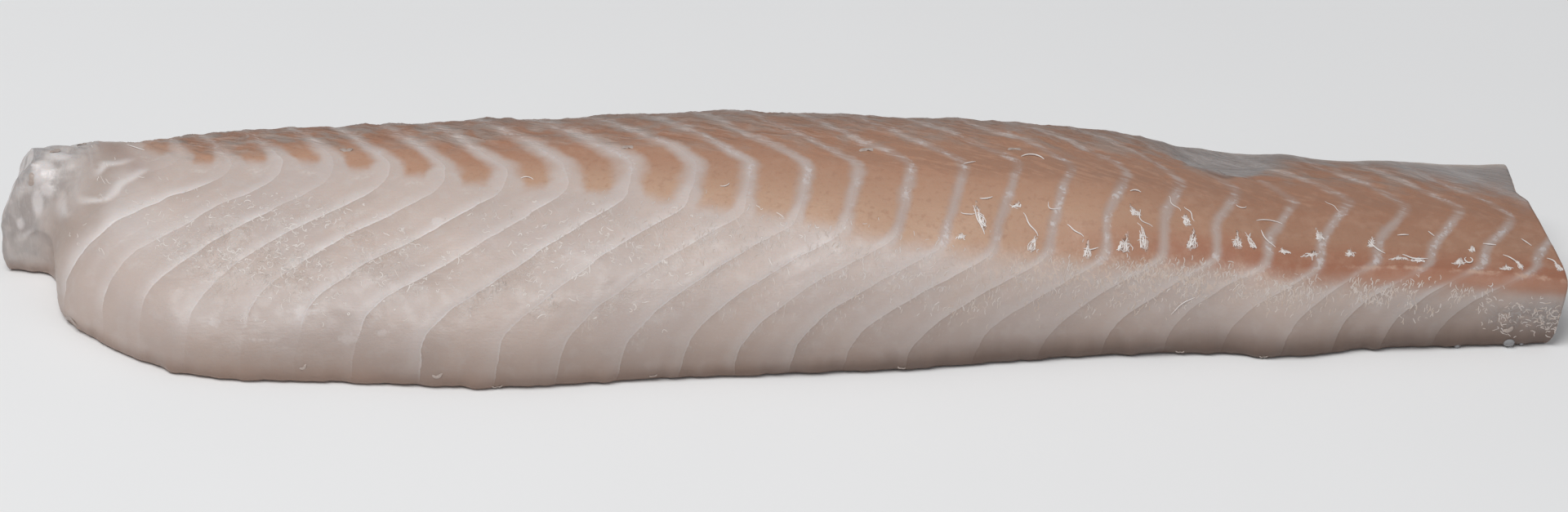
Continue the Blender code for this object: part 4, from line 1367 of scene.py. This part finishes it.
x, s, chooser = scattered(103, 5600, (-172, 5), (20, 58), curl_chance)
count = len(x)
paths = fibre_paths(x, s, chooser.uniform(0.8, 2.3, count), chooser.uniform(0, 180, count),
                    chooser.normal(0, 75, count), chooser.normal(0, 45, count), 8)
half = chooser.uniform(0.05, 0.10, (count, 1))
curled = tubes(*paths, 0.1 * half + 0 * paths[0], 1.5 * half, 0.5 * half, 4)
curl_finish = fibre_finish("pale_fibre", (203, 191, 183), (226, 218, 212), 0.10)
fibre_piece("curled_fibres", curled, chooser.uniform(0.1, 1, count), curl_finish)

# %% Short flecks along the dark muscle
def fleck_chance(x, s):
    """Worn velvet on the band's lower edge near the tail, sparser flecks below it in the middle,
    and a dense patch beside the tail cut."""
    from_band = s - along(x, BAND_EDGE)
    clumps = smooth(-0.8, 0.2, rough(x / 5, s / 4, 107, 2))
    velvet = 1.2 * hump(from_band, -2.9, 3.3) * smooth(50, 82, x) * (1 - smooth(150, 184, x))
    sparse = 0.30 * hump(from_band, -8, 7) * smooth(-85, -45, x) * (1 - smooth(80, 120, x))
    sparse = sparse * smooth(9, 17, s)
    patch = 0.7 * smooth(167, 178, x) * hump(s, 9.0, 4.0)
    return clumps * np.maximum(np.maximum(velvet, sparse), patch)


x, s, chooser = scattered(109, 36000, (-85, 4), (188, 60), fleck_chance)
count = len(x)
near_cut = smooth(164, 174, x)
heading = chooser.normal(78, 26, count) + near_cut * chooser.uniform(-90, 90, count)
paths = fibre_paths(x, s, chooser.uniform(0.6, 1.5, count), heading,
                    chooser.normal(0, 35, count), 0 * x, 4)
half = chooser.uniform(0.05, 0.10, (count, 1))
flecks_at = tubes(*paths, 0.1 * half + 0 * paths[0], 1.4 * half, 0.6 * half, 4)
tones = chooser.uniform(0.2, 0.8, count) + 0.2 * near_cut + 0.2 * (x < 40)
fleck_finish = fibre_finish("worn_fibre", (190, 169, 154), (208, 199, 194), 0.10)
fibre_piece("worn_flecks", flecks_at, tones, fleck_finish)

# %% Torn nets and loose threads on the dark muscle
NET_THREADS, NET_CROSSING, NET_HALF = 9, 5, (0.06, 0.12)
# Loose threads: (along, round) of the middle, length, heading, curl, wave and half thickness.
THREADS = ((95.8, 42.5, 6.5, -65, -20, 40, 0.10), (135.2, 45, 6.5, -58, 35, -30, 0.08),
           (97, 15, 7, 215, 10, 8, 0.10), (48.3, 38.5, 8.5, -72, -8, 14, 0.15),
           (50.4, 44.5, 3.2, 5, 30, 0, 0.16), (45.8, 40.2, 3.6, 170, -40, 10, 0.13),
           (60.8, 36.5, 7.5, -62, -15, 20, 0.15), (62.3, 60, 6.4, 165, 50, 0, 0.18),
           (46.8, 58, 3, 12, 10, 0, 0.13), (66, 41, 4.2, -48, 32, 30, 0.10),
           (71.5, 34, 5.2, -42, -10, 16, 0.14), (75.2, 29.2, 3.6, 0, 10, 12, 0.13),
           (86.6, 46.1, 2.8, 5, -30, 0, 0.16), (88, 36.8, 6.8, -62, 15, 35, 0.12),
           (99.5, 39, 5.4, -68, 20, -30, 0.12), (119, 40, 6.6, 3, -28, 0, 0.14),
           (117.8, 33, 6.3, -60, 14, 12, 0.15), (112.5, 43.5, 3.4, 0, 75, 0, 0.13),
           (144.2, 29.3, 5.8, -50, 22, 0, 0.16), (151.4, 34, 2.8, 2, 10, 0, 0.15),
           (153.4, 25.8, 6.5, -14, 12, 16, 0.17), (158.2, 34.5, 2.2, -55, 20, 0, 0.14),
           (166.3, 25, 5.0, -8, 150, 0, 0.16), (172, 30.5, 3.2, -8, 12, 0, 0.15),
           (176.8, 25.2, 5.2, -45, -16, 0, 0.15), (181.2, 32, 3.4, -52, 14, 0, 0.14),
           (186.8, 24.4, 4.4, -60, -40, 0, 0.16), (-158, 62, 5, 8, 20, 0, 0.13),
           (-60, 60, 3.4, 165, 40, 0, 0.12), (-12, 52, 2.8, 20, 60, 0, 0.12))


def net_threads(chooser):
    """For each scrap of lace, threads that start across its foot and lean together towards its
    top, then shorter ones that cross them. All as (x, s, length, heading, curl, half thickness)."""
    made = []
    for x0, s0, half, tall, lean in LACE:
        u = chooser.uniform(-1, 1, NET_THREADS)
        share = chooser.uniform(0.45, 1.0, NET_THREADS) * (1 - 0.35 * np.abs(u))
        run, climb = (lean - 0.75 * u * half) * share, (tall + 0.6) * share
        made.append((x0 + u * half + run / 2, s0 - 0.5 + climb / 2, np.hypot(run, climb),
                     np.degrees(np.arctan2(climb, run)), chooser.normal(0, 22, NET_THREADS),
                     chooser.uniform(*NET_HALF, NET_THREADS)))
        up = chooser.uniform(0, 0.6, NET_CROSSING)
        beside = chooser.normal(0, 0.3 * half, NET_CROSSING)
        made.append((x0 + lean * up + beside, s0 - 0.4 + tall * up, half * (1.7 - up),
                     chooser.normal(0, 30, NET_CROSSING), chooser.normal(0, 40, NET_CROSSING),
                     chooser.uniform(*NET_HALF, NET_CROSSING)))
    return np.concatenate([np.stack(threads) for threads in made], axis=1)


chooser = np.random.default_rng(113)
x, s, length, heading, curl, half = net_threads(chooser)
paths = fibre_paths(x, s, length, heading, curl, chooser.normal(0, 25, len(x)), 7)
lace_tubes = tubes(*paths, 0.6 * half[:, None] + 0 * paths[0], 1.2 * half, half, 5)
lace_finish = fibre_finish("white_tissue", (206, 192, 184), (236, 231, 228), 0.25)
fibre_piece("torn_nets", lace_tubes, chooser.uniform(0.4, 1, len(x)), lace_finish)
x, s, length, heading, curl, wave, half = np.array(THREADS, float).T
paths = fibre_paths(x, s, length, heading, curl, wave, 20)
raised = half[:, None] * (0.5 + 1.2 * np.sin(np.linspace(0, math.pi, 20)))[None, :]
thread_tubes = tubes(*paths, raised, 1.1 * half, half, 7)
fibre_piece("loose_threads", thread_tubes, 0 * x + 0.8, lace_finish)

# %% Thin scraps at the foot and on the head end
# (along, round, length, heading, half width): flat flakes that lie half sunk in the flesh.
SCRAPS = ((-171, 3.4, 4.6, 200, 0.5), (-80, 4.8, 2.6, 10, 0.4), (-66, 1.8, 2.6, -5, 0.4),
          (-112, 5.5, 2.0, 30, 0.35), (-29, 2.6, 2.0, 5, 0.3), (30, 2.4, 2.0, -8, 0.3),
          (97, 2.2, 2.2, 4, 0.3), (117, 2.0, 2.0, -6, 0.3), (-178, 36, 3.6, 70, 0.9),
          (-183, 26, 3.2, 80, 0.8), (-172, 44, 3.2, 40, 0.8), (176, 6.4, 2.4, 20, 0.6),
          (-105, 71, 3.4, 12, 0.7), (-36, 70, 3.0, 160, 0.7), (22, 66, 3.4, 168, 0.8),
          (58, 64, 3.2, 172, 0.7))
x, s, length, heading, half = np.array(SCRAPS, float).T
paths = fibre_paths(x, s, length, heading, 30 + 0 * x, 20 + 0 * x, 12)
flat = 0.05 + 0.10 * np.sin(np.linspace(0, 3 * math.pi, 12))[None, :] + 0 * paths[0]
scrap_finish = fibre_finish("thin_scrap", (162, 145, 135), (190, 176, 168), 0.30)
scrap_tubes = tubes(*paths, flat, half, 0.14 + 0 * half, 8)
fibre_piece("flesh_scraps", scrap_tubes, 0 * x + 0.5, scrap_finish)

# %% [markdown]
# ## Water
#
# A few beads of water stand on the flesh near the cuts. A bead is a ball pressed flat: wide where
# it wets the surface, and low. Its material lets the light through and bends it as water does, with
# a faint ripple so that no bead is perfect.

# %% Beads of water
# (along, round, half width, half height)
BEADS = ((164, 1.6, 0.7, 0.4), (176.5, 2.4, 1.4, 0.7), (179.6, 1.6, 0.5, 0.3), (160, 88, 0.6, 0.3),
         (-150, 108, 0.6, 0.3))
BEAD_RINGS, BEAD_SIDES = 9, 16


def beads():
    """Balls pressed flat: centre + half width sin(b) (cos(a), sin(a)) in the surface, and
    half height cos(b) outwards, with b from 0 at the top to pi underneath."""
    x, s, wide, high = np.array(BEADS, float).T
    centre, outward = on_surface(x, s)
    first = np.cross(outward, np.array([0.0, 0.0, 1.0]) + 0.1 * outward[:, ::-1])
    first = first / np.linalg.norm(first, axis=1, keepdims=True)
    second = np.cross(outward, first)
    b = np.linspace(0, math.pi, BEAD_RINGS + 2)[None, 1:-1, None, None]
    a = np.linspace(0, 2 * math.pi, BEAD_SIDES, endpoint=False)[None, None, :, None]
    tall = outward * high[:, None]
    tips = np.stack([centre + tall, centre - tall], axis=1)
    sideways = np.cos(a) * first[:, None, None] + np.sin(a) * second[:, None, None]
    rings = centre[:, None, None] + wide[:, None, None, None] * np.sin(b) * sideways
    return many_closed(rings + np.cos(b) * tall[:, None, None], tips)


water = Recipe("clear_water", IOR=1.33, Transmission_Weight=0.55)
ripple = water.noise(water.place(), 0.9, 1.0)
water_tone = water.mix(ripple, paint(214, 214, 216), paint(200, 201, 204))
water_paint = water.finish(Base_Color=water_tone, Roughness=0.02 + 0.04 * ripple,
                           Normal=water.bump(ripple, 0.04))
water_beads = mesh_piece("water_beads", *beads(), {}, water_paint)
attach(water_beads, "root")
print("beads of water:", len(BEADS))

# %% [markdown]
# ## Light, floor and camera
#
# Wet flesh needs one large soft source, above and in front and a little to the left, so that its
# gloss stays broad. So a wide area light hangs there, a weaker one fills from the right, and a pale
# world lights the rest. The camera is a long lens 1.1 m away, looking 30 degrees down, which keeps
# the two ends of such a long piece from shrinking.

# %% Floor and lights
floor_recipe = Recipe("pale_floor", Roughness=0.85)
floor_cloud = floor_recipe.noise(floor_recipe.place(), 0.01, 2.0)
floor_tone = floor_recipe.mix(floor_cloud, (0.87, 0.87, 0.87, 1.0), (0.90, 0.90, 0.90, 1.0))
floor_paint = floor_recipe.finish(Base_Color=floor_tone)
FLOOR_HALF, FLOOR_BELOW = 4000.0, 0.05
corners = [(FLOOR_HALF * i, FLOOR_HALF * j, -FLOOR_BELOW)
           for i, j in ((-1, -1), (1, -1), (1, 1), (-1, 1))]
floor = mesh_piece("floor", corners, [(0, 1, 2, 3)], {}, floor_paint)
floor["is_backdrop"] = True


def aim(thing, place, target):
    """Puts a light or camera at a place, in millimetres, with its -Z axis towards the target."""
    thing.location = Vector(place) * MM
    thing.rotation_euler = (Vector(target) - Vector(place)).to_track_quat("-Z", "Y").to_euler()


def softbox(name, place, size, watts):
    """A rectangular white area light that looks at the loin."""
    lamp = bpy.data.lights.new(name, "AREA")
    lamp.shape, lamp.size, lamp.size_y, lamp.energy = "RECTANGLE", *size, watts
    thing = bpy.data.objects.new(name, lamp)
    bpy.context.scene.collection.objects.link(thing)
    aim(thing, place, (0, 0, 10))


softbox("key_softbox", (-500, -620, 1700), (1.3, 0.9), 24)
softbox("fill_softbox", (1300, -900, 900), (1.0, 1.0), 2)
world = bpy.data.worlds.new("pale_room")
world.use_nodes = True
room_light = world.node_tree.nodes["Background"].inputs
room_light["Color"].default_value = (0.95, 0.97, 1.0, 1)
room_light["Strength"].default_value = 0.28
bpy.context.scene.world = world
bpy.context.scene.view_settings.view_transform = "Standard"
print("lights:", len(bpy.data.lights), "and a pale world")

# %% Camera
CAMERA_DISTANCE, CAMERA_ELEVATION = 1100.0, math.radians(30.0)
CAMERA_TARGET = np.array([2.0, 0.0, 10.0]) + SHIFT
VIEW_WIDTH, SENSOR = 384.0, 36.0
camera_data = bpy.data.cameras.new("camera")
camera_data.sensor_width = SENSOR
camera_data.lens = SENSOR * CAMERA_DISTANCE / VIEW_WIDTH
camera_data.clip_start, camera_data.clip_end = 0.01, 50.0
camera = bpy.data.objects.new("camera", camera_data)
bpy.context.scene.collection.objects.link(camera)
away = np.array([0.0, -math.cos(CAMERA_ELEVATION), math.sin(CAMERA_ELEVATION)]) * CAMERA_DISTANCE
aim(camera, CAMERA_TARGET + away, CAMERA_TARGET)
bpy.context.scene.camera = camera
print("lens of the camera: %.0f mm" % camera_data.lens)

shown_low, shown_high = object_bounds()
print_box("shown", shown_low, shown_high)
